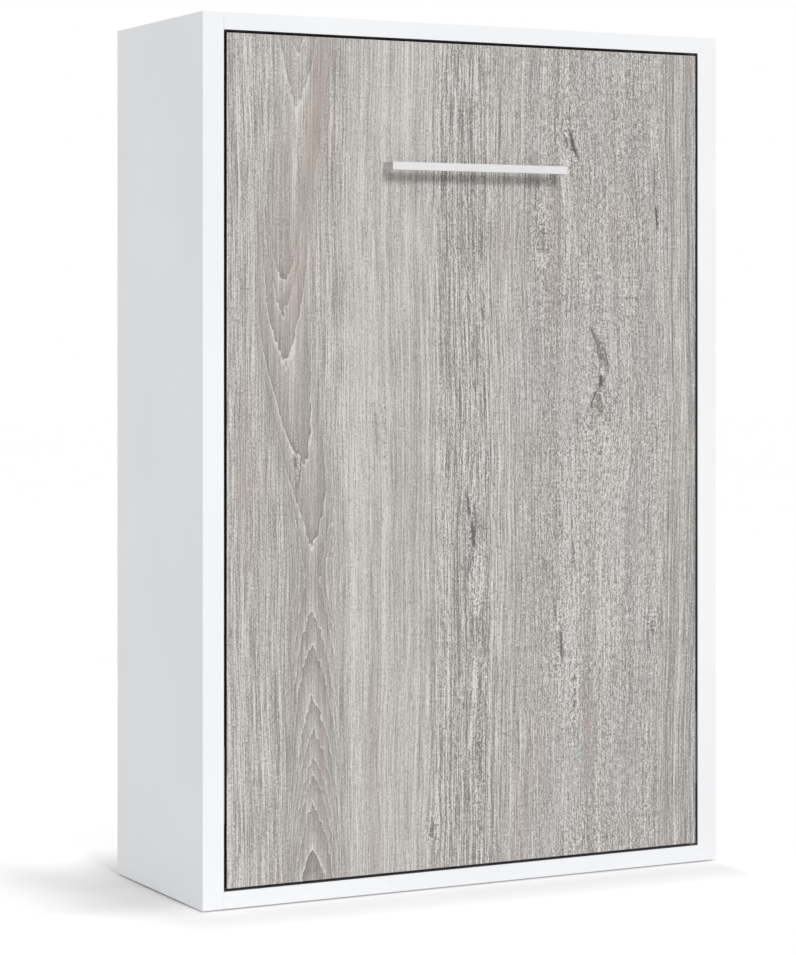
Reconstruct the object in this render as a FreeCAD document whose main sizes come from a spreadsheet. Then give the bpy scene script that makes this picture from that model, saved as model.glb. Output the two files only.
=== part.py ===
import FreeCAD, Part
import os
import Sketcher

# Vertical wall bed: a white cabinet whose door is the underside of a fold-down bed.
# +Z is up, the front faces -Y, and the origin lies on the floor at the centre
# of the outer box. "Behind" means further along +Y with the bed closed.

V = FreeCAD.Vector

SIZES = {
    # Mattress, which the bed box and the cabinet are built round
    "mattress_length": 2000,
    "mattress_width": 1200,
    "mattress_thickness": 180,
    "mattress_corner": 28,
    "mattress_end_gap": 8,
    "mattress_side_gap": 14,
    "soft_gap": 0.3,
    # Cabinet
    "cabinet_depth": 550,
    "side_thickness": 56,
    "top_thickness": 42,
    "bottom_thickness": 42,
    "edge_round": 1,
    "glide_height": 4,
    "glide_radius": 15,
    "glide_inset": 45,
    # Back panels in their grooves, and the rails behind them
    "back_thickness": 4,
    "back_joint_height": 1130,
    "groove_depth": 8,
    "groove_gap": 0.25,
    "joiner_web": 2,
    "joiner_flange": 1.2,
    "joiner_width": 16,
    "wall_rail_thickness": 18,
    "wall_rail_height": 100,
    "wall_rail_below_joint": 20,
    "wall_hole_radius": 5,
    "wall_hole_spacing": 1000,
    # Cam fittings and dowels in the corners
    "cam_radius": 7.5,
    "cam_depth": 26,
    "cam_setback": 34,
    "cam_bolt_radius": 3.5,
    "cam_bolt_seat": 12,
    "cam_from_edge": 70,
    "dowel_radius": 4,
    "dowel_length": 36,
    "dowel_from_edge": 38,
    # Door
    "door_thickness": 18,
    "door_gap_side": 7.5,
    "door_gap_top": 7,
    "door_gap_bottom": 7,
    # Handle
    "handle_length": 502,
    "handle_height": 20,
    "handle_reach": 55,
    "handle_bar_depth": 11,
    "handle_post_width": 12,
    "handle_drop": 364,
    "handle_bevel": 0.8,
    "handle_screw_radius": 2.5,
    "handle_screw_seat": 20,
    "screw_head_radius": 5,
    "screw_head_height": 3,
    # Main pivot
    "pivot_setback": 45,
    "pivot_rise": 250,
    "mechanism_space": 40,
    "plate_thickness": 5,
    "pin_radius": 10,
    "pin_spigot_radius": 8,
    "pin_shoulder_radius": 14,
    "pin_shoulder_length": 4,
    "pin_bevel": 1,
    "running_gap": 0.05,
    "side_play": 1,
    "bush_wall": 2,
    "bush_flange_radius": 17,
    "bush_flange_length": 2,
    "hub_wall": 6,
    # Cabinet pivot plate, measured from the pivot
    "pivot_plate_front": 38,
    "pivot_plate_back": 82,
    "pivot_plate_half_height": 100,
    "pivot_hole_radius": 16,
    "pivot_hole_distance": 52,
    "plate_corner": 12,
    "plate_screw_inset": 15,
    "plate_screw_radius": 3,
    "plate_screw_head_radius": 6,
    "plate_screw_head_depth": 2.5,
    "plate_screw_seat": 30,
    # Bed plate, measured from the pivot
    "bed_plate_front": 22,
    "bed_plate_back": 100,
    "bed_plate_below": 130,
    "bed_plate_above": 150,
    "bed_plate_top_back": 62,
    "bed_plate_taper_start": 20,
    "bed_hole_setback": 29,
    "bed_hole_radius": 15,
    "bed_hole_distance": 60,
    "bed_small_hole_radius": 11,
    "bed_small_hole_distance": 102,
    "bed_bolt_inset": 16,
    "bed_bolt_radius": 4,
    "bed_bolt_head_radius": 8,
    "bed_bolt_head_height": 3,
    "bed_bolt_short": 2,
    # Gas springs
    "spring_arm_setback": 55,
    "spring_arm_down": 95,
    "spring_anchor_setback": 90,
    "spring_anchor_rise": 500,
    "anchor_plate_size": 64,
    "anchor_screw_inset": 11,
    "stud_radius": 5,
    "stud_collar_radius": 8,
    "open_pivot_gap": 0.3,
    "eye_radius": 10,
    "eye_length": 20,
    "eye_side_gap": 0.5,
    "stud_tail": 1,
    "neck_radius": 6,
    "neck_length": 6,
    "tube_radius": 11,
    "tube_wall": 1.5,
    "tube_length": 380,
    "gland_length": 15,
    "piston_length": 12,
    "piston_gap": 0.1,
    "piston_overrun": 4,
    "rod_radius": 5,
    # Stops for the closed bed
    "stop_height": 1450,
    "stop_width": 50,
    "stop_foot": 60,
    "stop_reach": 64,
    "stop_screw_inset": 14,
    "stop_web_thickness": 4,
    "stop_web_setback": 12,
    "buffer_radius": 12,
    "buffer_length": 8,
    "buffer_gap": 0.2,
    # Bed box
    "rail_thickness": 30,
    "rail_height": 140,
    "box_inset": 9,
    "end_board_thickness": 22,
    "batten_thickness": 18,
    "batten_width": 90,
    "batten_end_distance": 465,
    "ledger_width": 25,
    "ledger_height": 30,
    "bracket_leg": 28,
    "bracket_thickness": 2.5,
    "bracket_width": 40,
    "bracket_from_pivot": 200,
    "bracket_from_leg": 42,
    # Slats
    "slat_width": 68,
    "slat_thickness": 8,
    "slat_bow": 6,
    "slat_row_inset": 47,
    "slat_end_gap": 4,
    "holder_length": 28,
    "holder_height": 20,
    "holder_width": 76,
    "holder_wall": 2,
    "holder_gap": 0.6,
    # Straps
    "strap_width": 50,
    "strap_thickness": 2.5,
    "strap_corner": 22,
    "strap_tail": 35,
    "strap_gap": 0.3,
    "strap_spacing": 800,
    "buckle_length": 66,
    "buckle_width": 56,
    "buckle_height": 12,
    "buckle_corner": 5,
    # Swing-out leg at the foot end
    "leg_pivot_setback": 140,
    "leg_pivot_drop": 26,
    "leg_splay_angle": 20,
    "leg_lean_angle": 22,
    "leg_arm_width": 25,
    "leg_arm_corner": 10,
    "leg_arm_thickness": 8,
    "leg_arm_gap": 8,
    "leg_tube_radius": 11,
    "leg_tube_wall": 1.5,
    "leg_bolt_radius": 5,
    "leg_bolt_collar": 9,
    "leg_bolt_head": 4,
    "leg_bolt_play": 0.5,
    "foot_radius": 14,
    "foot_length": 60,
    "foot_inset": 110,
}
SLAT_COUNT = 14
BATTEN_COUNT = 3
BRACKET_COUNT = 5
STRAP_COUNT = 2
FULL_TURN = 360
OVERRUN = "sizes.cabinet_depth"
SAME = 1e-5
SIDES = (("left", -1), ("right", 1))

doc = FreeCAD.newDocument("wall_bed")
sheet = doc.addObject("Spreadsheet::Sheet", "sizes")
for row, (alias, value) in enumerate(SIZES.items(), start=1):
    sheet.set(f"A{row}", alias)
    sheet.set(f"B{row}", str(value))
    sheet.setAlias(f"B{row}", alias)
doc.recompute()

# Places that several pieces share, worked out from the sheet
rail_inner = "(sizes.mattress_width / 2 + sizes.mattress_side_gap)"
rail_outer = f"({rail_inner} + sizes.rail_thickness)"
inner_half = f"({rail_outer} + sizes.mechanism_space)"
half_width = f"({inner_half} + sizes.side_thickness)"
back_y = "((sizes.cabinet_depth + sizes.handle_reach) / 2)"
front_y = "((sizes.handle_reach - sizes.cabinet_depth) / 2)"
box_inside = "(sizes.mattress_length + 2 * sizes.mattress_end_gap)"
box_length = f"({box_inside} + 2 * sizes.end_board_thickness)"
inner_bottom = "(sizes.glide_height + sizes.bottom_thickness)"
door_bottom = f"({inner_bottom} + sizes.door_gap_bottom)"
box_bottom = f"({door_bottom} + sizes.box_inset)"
box_top = f"({box_bottom} + {box_length})"
box_middle = f"({box_bottom} + {box_length} / 2)"
door_top = f"({box_top} + sizes.box_inset)"
inner_top = f"({door_top} + sizes.door_gap_top)"
cabinet_top = f"({inner_top} + sizes.top_thickness)"
pivot_y = f"({front_y} + sizes.pivot_setback)"
pivot_z = f"({door_bottom} + sizes.pivot_rise)"
rail_front = f"({front_y} + sizes.door_thickness)"
rail_back = f"({rail_front} + sizes.rail_height)"
ledger_front = f"({rail_front} + sizes.batten_thickness)"
holder_front = f"({ledger_front} + sizes.ledger_height)"
slat_middle = f"({holder_front} + sizes.holder_height / 2)"
mattress_front = (
    f"({slat_middle} + sizes.slat_thickness / 2 + sizes.slat_bow + sizes.soft_gap)"
)
mattress_back = f"({mattress_front} + sizes.mattress_thickness)"
rail_side = f"({back_y} - sizes.wall_rail_thickness)"
mechanism_middle = f"({inner_half} - sizes.mechanism_space / 2)"
handle_z = f"({cabinet_top} - sizes.handle_drop)"
leg_pivot_y = f"({front_y} + sizes.leg_pivot_setback)"
leg_pivot_z = f"({door_top} - sizes.leg_pivot_drop)"
leg_drop = (
    f"({pivot_z} - sizes.pivot_setback + sizes.leg_pivot_setback - sizes.foot_radius)"
)
leg_length = f"({leg_drop} / cos(sizes.leg_splay_angle))"

parts = []


def number(expression):
    """The present value of an expression on the sheet."""
    value = sheet.evalExpression(str(expression))
    return float(getattr(value, "Value", value))


def new_body(label, x="0", y="0", z="0"):
    """A sub-part of its own, placed by three expressions."""
    body = doc.addObject("PartDesign::Body", label)
    for axis, place in (("x", x), ("y", y), ("z", z)):
        body.setExpression(f"Placement.Base.{axis}", place)
    parts.append(body)
    return body


def turn_about_x(body, angle):
    """Turn a body about its own X axis by an expression in degrees."""
    body.Placement = FreeCAD.Placement(V(), FreeCAD.Rotation(V(1, 0, 0), number(angle)))
    body.setExpression("Placement.Rotation.Angle", angle)


def origin_feature(body, role):
    """A plane or an axis of the body's own origin."""
    return next(item for item in body.Origin.OriginFeatures if item.Role == role)


def new_sketch(body, role, name, lift="0"):
    """A sketch on one origin plane of the body, lifted along the plane's normal."""
    sketch = body.newObject("Sketcher::SketchObject", f"{body.Label}_{name}")
    sketch.AttachmentSupport = [(origin_feature(body, role), "")]
    sketch.MapMode = "FlatFace"
    if lift != "0":
        sketch.setExpression("AttachmentOffset.Base.z", lift)
    return sketch


def hold(sketch, kind, expression, *where):
    """Add one dimension to the sketch and bind it to an expression."""
    index = sketch.addConstraint(Sketcher.Constraint(kind, *where, number(expression)))
    sketch.setExpression(f"Constraints[{index}]", expression)


def hold_point(sketch, geometry, end, u, v):
    """Hold one point of the sketch at two distances from its origin."""
    hold(sketch, "DistanceX", u, -1, 1, geometry, end)
    hold(sketch, "DistanceY", v, -1, 1, geometry, end)


def draw_outline(sketch, corners):
    """A closed outline of straight lines through the corners, each held."""
    first = sketch.GeometryCount
    points = [V(number(u), number(v), 0) for u, v in corners]
    for start, end in zip(points, points[1:] + points[:1]):
        sketch.addGeometry(Part.LineSegment(start, end), False)
    count = len(corners)
    for step in range(count):
        following = first + (step + 1) % count
        joint = Sketcher.Constraint("Coincident", first + step, 2, following, 1)
        sketch.addConstraint(joint)
    for step, (u, v) in enumerate(corners):
        hold_point(sketch, first + step, 1, u, v)


def draw_rectangle(sketch, low_u, low_v, high_u, high_v):
    """A rectangle between two held corners."""
    corners = [(low_u, low_v), (high_u, low_v), (high_u, high_v), (low_u, high_v)]
    draw_outline(sketch, corners)


def draw_circle(sketch, u, v, radius):
    """A circle with its centre and its radius held."""
    centre = V(number(u), number(v), 0)
    circle = Part.Circle(centre, V(0, 0, 1), number(radius))
    index = sketch.addGeometry(circle, False)
    hold_point(sketch, index, 3, u, v)
    hold(sketch, "Radius", radius, index)


def pad(body, sketch, length, back=False, both=False):
    """Raise the sketch into a solid, backwards or to both sides if asked."""
    feature = body.newObject("PartDesign::Pad", f"{sketch.Name}_pad")
    feature.Profile = sketch
    feature.setExpression("Length", length)
    feature.Reversed = back
    if both:
        feature.SideType = "Symmetric"
    doc.recompute()
    return feature


def pocket(body, sketch, depth, along=False):
    """Sink the sketch into the body, along its normal if asked, and see that it cuts."""
    before = body.Shape.Volume
    feature = body.newObject("PartDesign::Pocket", f"{sketch.Name}_cut")
    feature.Profile = sketch
    feature.setExpression("Length", depth)
    feature.Reversed = along
    doc.recompute()
    if not feature.Shape.Volume < before:
        raise ValueError(f"{sketch.Name} cuts nothing")
    return feature


def revolve(body, sketch, axis="H_Axis"):
    """Turn a profile about the horizontal or vertical axis of its sketch."""
    feature = body.newObject("PartDesign::Revolution", f"{sketch.Name}_turned")
    feature.Profile = sketch
    feature.ReferenceAxis = (sketch, [axis])
    feature.Angle = FULL_TURN
    doc.recompute()
    return feature


def dress(body, kind, size, choose):
    """Fillet or chamfer the edges of the body's tip that the test chooses."""
    base = body.Tip
    names = [
        f"Edge{place}"
        for place, edge in enumerate(base.Shape.Edges, start=1)
        if choose(edge)
    ]
    feature = body.newObject(f"PartDesign::{kind}", f"{body.Label}_{kind.lower()}")
    feature.Base = (base, names)
    feature.setExpression("Radius" if kind == "Fillet" else "Size", size)
    body.Tip = feature
    doc.recompute()
    return feature


def repeat(body, feature, role, length, count):
    """Repeat a feature along one axis of the body, over the whole length."""
    pattern = body.newObject("PartDesign::LinearPattern", f"{feature.Name}_row")
    pattern.Originals = [feature]
    pattern.Direction = (origin_feature(body, role), [""])
    pattern.setExpression("Length", length)
    pattern.Occurrences = count
    body.Tip = pattern
    doc.recompute()
    return pattern


def board(label, corner, size):
    """A plain board from its low corner, with its sizes along X, Y and Z."""
    body = new_body(label, *corner)
    sketch = new_sketch(body, "XY_Plane", "section")
    draw_rectangle(sketch, "0", "0", size[0], size[1])
    pad(body, sketch, size[2])
    return body


def runs_along(edge, axis):
    """Whether a straight edge runs along X, Y or Z, given as 0, 1 or 2."""
    ends = [vertex.Point for vertex in edge.Vertexes]
    if len(ends) != 2:
        return False
    direction = (ends[1] - ends[0]).normalize()
    return abs(abs(direction[axis]) - 1) < SAME


def lies_at(edge, axis, value):
    """Whether the whole edge lies at one value of X, Y or Z."""
    return all(abs(vertex.Point[axis] - value) < SAME for vertex in edge.Vertexes)


# Cabinet boards

cabinet_length = f"({cabinet_top} - sizes.glide_height)"
cap_length = f"(2 * {inner_half})"
groove_back = "(sizes.cabinet_depth - sizes.wall_rail_thickness)"
groove_front = f"({groove_back} - sizes.back_thickness - sizes.groove_gap)"
near_cam = "sizes.cam_from_edge"
far_cam = "(sizes.cabinet_depth - sizes.cam_from_edge)"
near_dowel = "(sizes.cam_from_edge + sizes.dowel_from_edge)"
far_dowel = f"(sizes.cabinet_depth - {near_dowel})"
top_middle = f"({cabinet_top} - sizes.top_thickness / 2)"
bottom_middle = "(sizes.glide_height + sizes.bottom_thickness / 2)"
anchor_y = f"({pivot_y} + sizes.spring_anchor_setback)"
anchor_z = f"({pivot_z} + sizes.spring_anchor_rise)"
stop_y = f"({rail_back} + sizes.buffer_gap + sizes.buffer_length)"


def mechanism_screw_places():
    """Y and Z of every screw that holds a steel fitting to one side panel."""
    inset = "sizes.plate_screw_inset"
    low_y = f"({pivot_y} - sizes.pivot_plate_front + {inset})"
    high_y = f"({pivot_y} + sizes.pivot_plate_back - {inset})"
    reach = f"(sizes.pivot_plate_half_height - {inset})"
    places = [
        (y, f"({pivot_z} {direction} {reach})")
        for y in (low_y, high_y)
        for direction in "+-"
    ]
    corner = "(sizes.anchor_plate_size / 2 - sizes.anchor_screw_inset)"
    places.append((f"({anchor_y} - {corner})", f"({anchor_z} + {corner})"))
    places.append((f"({anchor_y} + {corner})", f"({anchor_z} - {corner})"))
    near = f"({stop_y} + sizes.plate_thickness + sizes.stop_screw_inset)"
    far = f"({stop_y} + sizes.stop_foot - sizes.stop_screw_inset)"
    places.append((near, "sizes.stop_height"))
    places.append((far, "sizes.stop_height"))
    return places


def side_panel(side, sign):
    """A full-height side board, drawn from its inner face outwards."""
    right = side == "right"
    label = f"{side}_side_panel"
    body = new_body(label, f"{sign} * {inner_half}", front_y, "sizes.glide_height")
    sketch = new_sketch(body, "YZ_Plane", "outline")
    draw_rectangle(sketch, "0", "0", "sizes.cabinet_depth", cabinet_length)
    pad(body, sketch, "sizes.side_thickness", back=not right)
    dress(body, "Fillet", "sizes.edge_round", lambda edge: lies_at(edge, 1, 0))
    groove = new_sketch(body, "YZ_Plane", "groove")
    low = "(sizes.bottom_thickness - sizes.groove_depth)"
    high = f"({cabinet_length} - sizes.top_thickness + sizes.groove_depth)"
    draw_rectangle(groove, groove_front, low, groove_back, high)
    pocket(body, groove, "sizes.groove_depth", along=right)
    seats = new_sketch(body, "YZ_Plane", "fitting_seats")
    for middle in (top_middle, bottom_middle):
        level = f"({middle} - sizes.glide_height)"
        for place in (near_cam, far_cam):
            draw_circle(seats, place, level, "sizes.cam_bolt_radius")
        for place in (near_dowel, far_dowel):
            draw_circle(seats, place, level, "sizes.dowel_radius")
    pocket(body, seats, "sizes.cam_bolt_seat", along=right)
    screws = new_sketch(body, "YZ_Plane", "screw_seats")
    for y, z in mechanism_screw_places():
        place = f"({y} - {front_y})"
        level = f"({z} - sizes.glide_height)"
        draw_circle(screws, place, level, "sizes.plate_screw_radius")
    pocket(body, screws, "sizes.plate_screw_seat", along=right)


def cap_board(label, low_z, thickness, hidden_above):
    """The top or bottom board, with its cams in the face that stays hidden."""
    corner = (f"-1 * {inner_half}", front_y, low_z)
    body = board(label, corner, (cap_length, "sizes.cabinet_depth", thickness))
    dress(
        body,
        "Fillet",
        "sizes.edge_round",
        lambda edge: lies_at(edge, 1, 0) and runs_along(edge, 0),
    )
    inner_lift = "0" if hidden_above else thickness
    hidden_lift = thickness if hidden_above else "0"
    groove = new_sketch(body, "XY_Plane", "groove", inner_lift)
    draw_rectangle(groove, "0", groove_front, cap_length, groove_back)
    pocket(body, groove, "sizes.groove_depth", along=hidden_above)
    cams = new_sketch(body, "XY_Plane", "cam_seats", hidden_lift)
    for place in (near_cam, far_cam):
        draw_circle(cams, "sizes.cam_setback", place, "sizes.cam_radius")
        draw_circle(cams, f"({cap_length} - sizes.cam_setback)", place, "sizes.cam_radius")
    pocket(body, cams, "sizes.cam_depth", along=not hidden_above)
    for end, lift, into in (("left", "0", True), ("right", cap_length, False)):
        bolts = new_sketch(body, "YZ_Plane", f"{end}_bolt_bores", lift)
        dowels = new_sketch(body, "YZ_Plane", f"{end}_dowel_bores", lift)
        for place in (near_cam, far_cam):
            draw_circle(bolts, place, f"{thickness} / 2", "sizes.cam_bolt_radius")
        for place in (near_dowel, far_dowel):
            draw_circle(dowels, place, f"{thickness} / 2", "sizes.dowel_radius")
        pocket(body, bolts, "sizes.cam_setback", along=into)
        pocket(body, dowels, "sizes.dowel_length - sizes.cam_bolt_seat", along=into)


def corner_fittings():
    """Cams, cam bolts and dowels of the four corner joints."""
    cams = new_body("cam_locks", y=front_y)
    bolts = new_body("cam_bolts", y=front_y)
    dowels = new_body("corner_dowels", y=front_y)
    levels = (
        ("top", top_middle, f"({cabinet_top} - sizes.cam_depth)"),
        ("bottom", bottom_middle, "sizes.glide_height"),
    )
    bolt_start = f"({inner_half} - sizes.cam_setback + sizes.cam_radius)"
    bolt_length = "(sizes.cam_setback - sizes.cam_radius + sizes.cam_bolt_seat)"
    dowel_start = f"({inner_half} + sizes.cam_bolt_seat - sizes.dowel_length)"
    for name, middle, cam_low in levels:
        discs = new_sketch(cams, "XY_Plane", name, cam_low)
        for side, sign in SIDES:
            centre = f"{sign} * ({inner_half} - sizes.cam_setback)"
            for place in (near_cam, far_cam):
                draw_circle(discs, centre, place, "sizes.cam_radius")
        pad(cams, discs, "sizes.cam_depth")
        for side, sign in SIDES:
            ends = f"{name}_{side}"
            row = new_sketch(bolts, "YZ_Plane", ends, f"{sign} * {bolt_start}")
            for place in (near_cam, far_cam):
                draw_circle(row, place, middle, "sizes.cam_bolt_radius")
            pad(bolts, row, bolt_length, back=side == "left")
            row = new_sketch(dowels, "YZ_Plane", ends, f"{sign} * {dowel_start}")
            for place in (near_dowel, far_dowel):
                draw_circle(row, place, middle, "sizes.dowel_radius")
            pad(dowels, row, "sizes.dowel_length", back=side == "left")


def wall_holes(body, corner_x, corner_z, level):
    """Two holes for wall bolts through a board, at one level above the floor."""
    sketch = new_sketch(body, "XZ_Plane", "wall_holes")
    for _, sign in SIDES:
        place = f"({sign} * sizes.wall_hole_spacing / 2 - ({corner_x}))"
        draw_circle(sketch, place, f"({level} - {corner_z})", "sizes.wall_hole_radius")
    pocket(body, sketch, OVERRUN)


def cabinet_back():
    """Two thin back panels with a joining profile, and the rails behind them."""
    tuck = "(sizes.groove_depth - sizes.groove_gap)"
    joint = "sizes.back_joint_height"
    left = f"-1 * ({inner_half} + {tuck})"
    width = f"(2 * ({inner_half} + {tuck}))"
    panel_y = f"({rail_side} - sizes.back_thickness)"
    low = f"({inner_bottom} - {tuck})"
    lower_top = f"({joint} - sizes.joiner_web / 2)"
    upper_low = f"({joint} + sizes.joiner_web / 2)"
    middle_low = f"({joint} - sizes.wall_rail_below_joint - sizes.wall_rail_height)"
    upper_rail_low = f"({inner_top} - sizes.wall_rail_height)"
    middle_level = f"({middle_low} + sizes.wall_rail_height / 2)"
    upper_level = f"({upper_rail_low} + sizes.wall_rail_height / 2)"

    height = f"({lower_top} - {low})"
    size = (width, "sizes.back_thickness", height)
    body = board("lower_back_panel", (left, panel_y, low), size)
    wall_holes(body, left, low, middle_level)

    height = f"({inner_top} + {tuck} - {upper_low})"
    size = (width, "sizes.back_thickness", height)
    body = board("upper_back_panel", (left, panel_y, upper_low), size)
    wall_holes(body, left, upper_low, upper_level)

    body = new_body("back_panel_joiner", y=panel_y, z=joint)
    sketch = new_sketch(body, "YZ_Plane", "section")
    deep = "(sizes.back_thickness + sizes.joiner_flange)"
    thin = "-1 * sizes.joiner_flange"
    half = "sizes.joiner_width / 2"
    web = "sizes.joiner_web / 2"
    thick = "sizes.back_thickness"
    corners = [
        (thin, f"-1 * {half}"),
        ("0", f"-1 * {half}"),
        ("0", f"-1 * {web}"),
        (thick, f"-1 * {web}"),
        (thick, f"-1 * {half}"),
        (deep, f"-1 * {half}"),
        (deep, half),
        (thick, half),
        (thick, web),
        ("0", web),
        ("0", half),
        (thin, half),
    ]
    draw_outline(sketch, corners)
    pad(body, sketch, cap_length, both=True)

    left = f"-1 * {inner_half}"
    size = (cap_length, "sizes.wall_rail_thickness", "sizes.wall_rail_height")
    for label, low, level in (
        ("middle_wall_rail", middle_low, middle_level),
        ("upper_wall_rail", upper_rail_low, upper_level),
    ):
        body = board(label, (left, rail_side, low), size)
        wall_holes(body, left, low, level)


def floor_glides():
    """Low plastic glides under both side panels and the bottom board."""
    body = new_body("floor_glides")
    sketch = new_sketch(body, "XY_Plane", "discs")
    side_x = f"({half_width} - sizes.side_thickness / 2)"
    for x in (f"-1 * {side_x}", "0", side_x):
        for y in (f"({front_y} + sizes.glide_inset)", f"({back_y} - sizes.glide_inset)"):
            draw_circle(sketch, x, y, "sizes.glide_radius")
    pad(body, sketch, "sizes.glide_height")


# Steel fittings on the cabinet

def fitting_holes(body, right, places, bare_radius=None):
    """Countersunk screw holes in a plate that lies on a side panel's inner face."""
    shanks = new_sketch(body, "YZ_Plane", "screw_holes")
    for y, z in places:
        draw_circle(shanks, y, z, "sizes.plate_screw_radius")
    if bare_radius:
        draw_circle(shanks, "0", "0", bare_radius)
    pocket(body, shanks, "sizes.plate_thickness", along=not right)
    face = "-1 * sizes.plate_thickness" if right else "sizes.plate_thickness"
    heads = new_sketch(body, "YZ_Plane", "screw_head_seats", face)
    for y, z in places:
        draw_circle(heads, y, z, "sizes.plate_screw_head_radius")
    pocket(body, heads, "sizes.plate_screw_head_depth", along=right)


def pivot_plate(side, sign):
    """The steel plate on the side panel that carries the main pivot pin."""
    right = side == "right"
    body = new_body(f"{side}_pivot_plate", f"{sign} * {inner_half}", pivot_y, pivot_z)
    sketch = new_sketch(body, "YZ_Plane", "outline")
    front = "-1 * sizes.pivot_plate_front"
    back = "sizes.pivot_plate_back"
    half = "sizes.pivot_plate_half_height"
    draw_rectangle(sketch, front, f"-1 * {half}", back, half)
    pad(body, sketch, "sizes.plate_thickness", back=right)
    dress(body, "Fillet", "sizes.plate_corner", lambda edge: runs_along(edge, 0))
    openings = new_sketch(body, "YZ_Plane", "light_holes")
    middle = f"(({back} - sizes.pivot_plate_front) / 2)"
    for direction in ("", "-"):
        level = f"{direction}1 * sizes.pivot_hole_distance"
        draw_circle(openings, middle, level, "sizes.pivot_hole_radius")
    pocket(body, openings, "sizes.plate_thickness", along=not right)
    inset = "sizes.plate_screw_inset"
    places = [
        (y, f"({direction}1 * ({half} - {inset}))")
        for y in (f"({front} + {inset})", f"({back} - {inset})")
        for direction in ("", "-")
    ]
    fitting_holes(body, right, places, "sizes.pin_spigot_radius")


def pivot_pin(side, sign):
    """The shouldered pin that the bed turns on."""
    body = new_body(f"{side}_pivot_pin", f"{sign} * {inner_half}", pivot_y, pivot_z)
    sketch = new_sketch(body, "XY_Plane", "profile")
    plate = "sizes.plate_thickness"
    shoulder = f"({plate} + sizes.pin_shoulder_length)"
    tip = "(sizes.mechanism_space - sizes.side_play)"
    profile = [
        ("0", "0"),
        ("0", "sizes.pin_spigot_radius"),
        (plate, "sizes.pin_spigot_radius"),
        (plate, "sizes.pin_shoulder_radius"),
        (shoulder, "sizes.pin_shoulder_radius"),
        (shoulder, "sizes.pin_radius"),
        (f"({tip} - sizes.pin_bevel)", "sizes.pin_radius"),
        (tip, "(sizes.pin_radius - sizes.pin_bevel)"),
        (tip, "0"),
    ]
    draw_outline(sketch, [(f"{-sign} * {x}", radius) for x, radius in profile])
    revolve(body, sketch)


def spring_anchor(side, sign):
    """The plate and stud that hold the upper end of a gas spring."""
    right = side == "right"
    body = new_body(f"{side}_spring_anchor", f"{sign} * {inner_half}", anchor_y, anchor_z)
    half = "sizes.anchor_plate_size / 2"
    sketch = new_sketch(body, "YZ_Plane", "outline")
    draw_rectangle(sketch, f"-1 * {half}", f"-1 * {half}", half, half)
    pad(body, sketch, "sizes.plate_thickness", back=right)
    dress(body, "Fillet", "sizes.anchor_screw_inset", lambda edge: runs_along(edge, 0))
    eye_face = "(sizes.mechanism_space - sizes.eye_length) / 2"
    collar = new_sketch(body, "YZ_Plane", "collar")
    draw_circle(collar, "0", "0", "sizes.stud_collar_radius")
    pad(body, collar, f"{eye_face} - sizes.eye_side_gap", back=right)
    stud = new_sketch(body, "YZ_Plane", "stud")
    draw_circle(stud, "0", "0", "sizes.stud_radius")
    length = f"{eye_face} + sizes.eye_length + sizes.stud_tail"
    pad(body, stud, length, back=right)
    corner = f"({half} - sizes.anchor_screw_inset)"
    places = [(f"-1 * {corner}", corner), (corner, f"-1 * {corner}")]
    fitting_holes(body, right, places)


def stop_bracket(side, sign):
    """The angle that stands behind a bed rail and stops the closed bed."""
    right = side == "right"
    place = (f"{sign} * {inner_half}", stop_y, "sizes.stop_height")
    body = new_body(f"{side}_stop_bracket", *place)
    thick = "sizes.plate_thickness"
    profile = [
        ("0", "0"),
        ("sizes.stop_reach", "0"),
        ("sizes.stop_reach", thick),
        (thick, thick),
        (thick, "sizes.stop_foot"),
        ("0", "sizes.stop_foot"),
    ]
    sketch = new_sketch(body, "XY_Plane", "profile")
    draw_outline(sketch, [(f"{-sign} * {x}", y) for x, y in profile])
    pad(body, sketch, "sizes.stop_width", both=True)
    web = [
        (thick, thick),
        ("(sizes.stop_reach - sizes.stop_web_setback)", thick),
        (thick, "(sizes.stop_foot - sizes.stop_web_setback)"),
    ]
    levels = ("-1 * sizes.stop_width / 2", "(sizes.stop_width / 2 - sizes.stop_web_thickness)")
    for name, level in zip(("low_web", "high_web"), levels):
        sketch = new_sketch(body, "XY_Plane", name, level)
        draw_outline(sketch, [(f"{-sign} * {x}", y) for x, y in web])
        pad(body, sketch, "sizes.stop_web_thickness")
    near = "(sizes.plate_thickness + sizes.stop_screw_inset)"
    far = "(sizes.stop_foot - sizes.stop_screw_inset)"
    fitting_holes(body, right, [(near, "0"), (far, "0")])


def mechanism_screws():
    """The screws of all steel fittings, sunk into both side panels."""
    body = new_body("mechanism_screws")
    for side, sign in SIDES:
        face = f"{sign} * ({inner_half} - sizes.plate_thickness)"
        heads = new_sketch(body, "YZ_Plane", f"{side}_heads", face)
        shanks = new_sketch(body, "YZ_Plane", f"{side}_shanks", face)
        for y, z in mechanism_screw_places():
            draw_circle(heads, y, z, "sizes.plate_screw_head_radius")
            draw_circle(shanks, y, z, "sizes.plate_screw_radius")
        pad(body, heads, "sizes.plate_screw_head_depth", back=side == "left")
        length = "sizes.plate_thickness + sizes.plate_screw_seat"
        pad(body, shanks, length, back=side == "left")


def stop_buffers():
    """Rubber buffers between the stop brackets and the closed bed's rails."""
    body = new_body("stop_buffers", z="sizes.stop_height")
    lift = f"-1 * ({rail_back} + sizes.buffer_gap)"
    sketch = new_sketch(body, "XZ_Plane", "discs", lift)
    for _, sign in SIDES:
        centre = f"{sign} * ({rail_inner} + sizes.rail_thickness / 2)"
        draw_circle(sketch, centre, "0", "sizes.buffer_radius")
    pad(body, sketch, "sizes.buffer_length", back=True)


# Door and handle

door_half = f"({inner_half} - sizes.door_gap_side)"
post_middle = "(sizes.handle_length / 2 - sizes.handle_post_width / 2)"
handle_front = f"({front_y} - sizes.handle_reach)"


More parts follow.
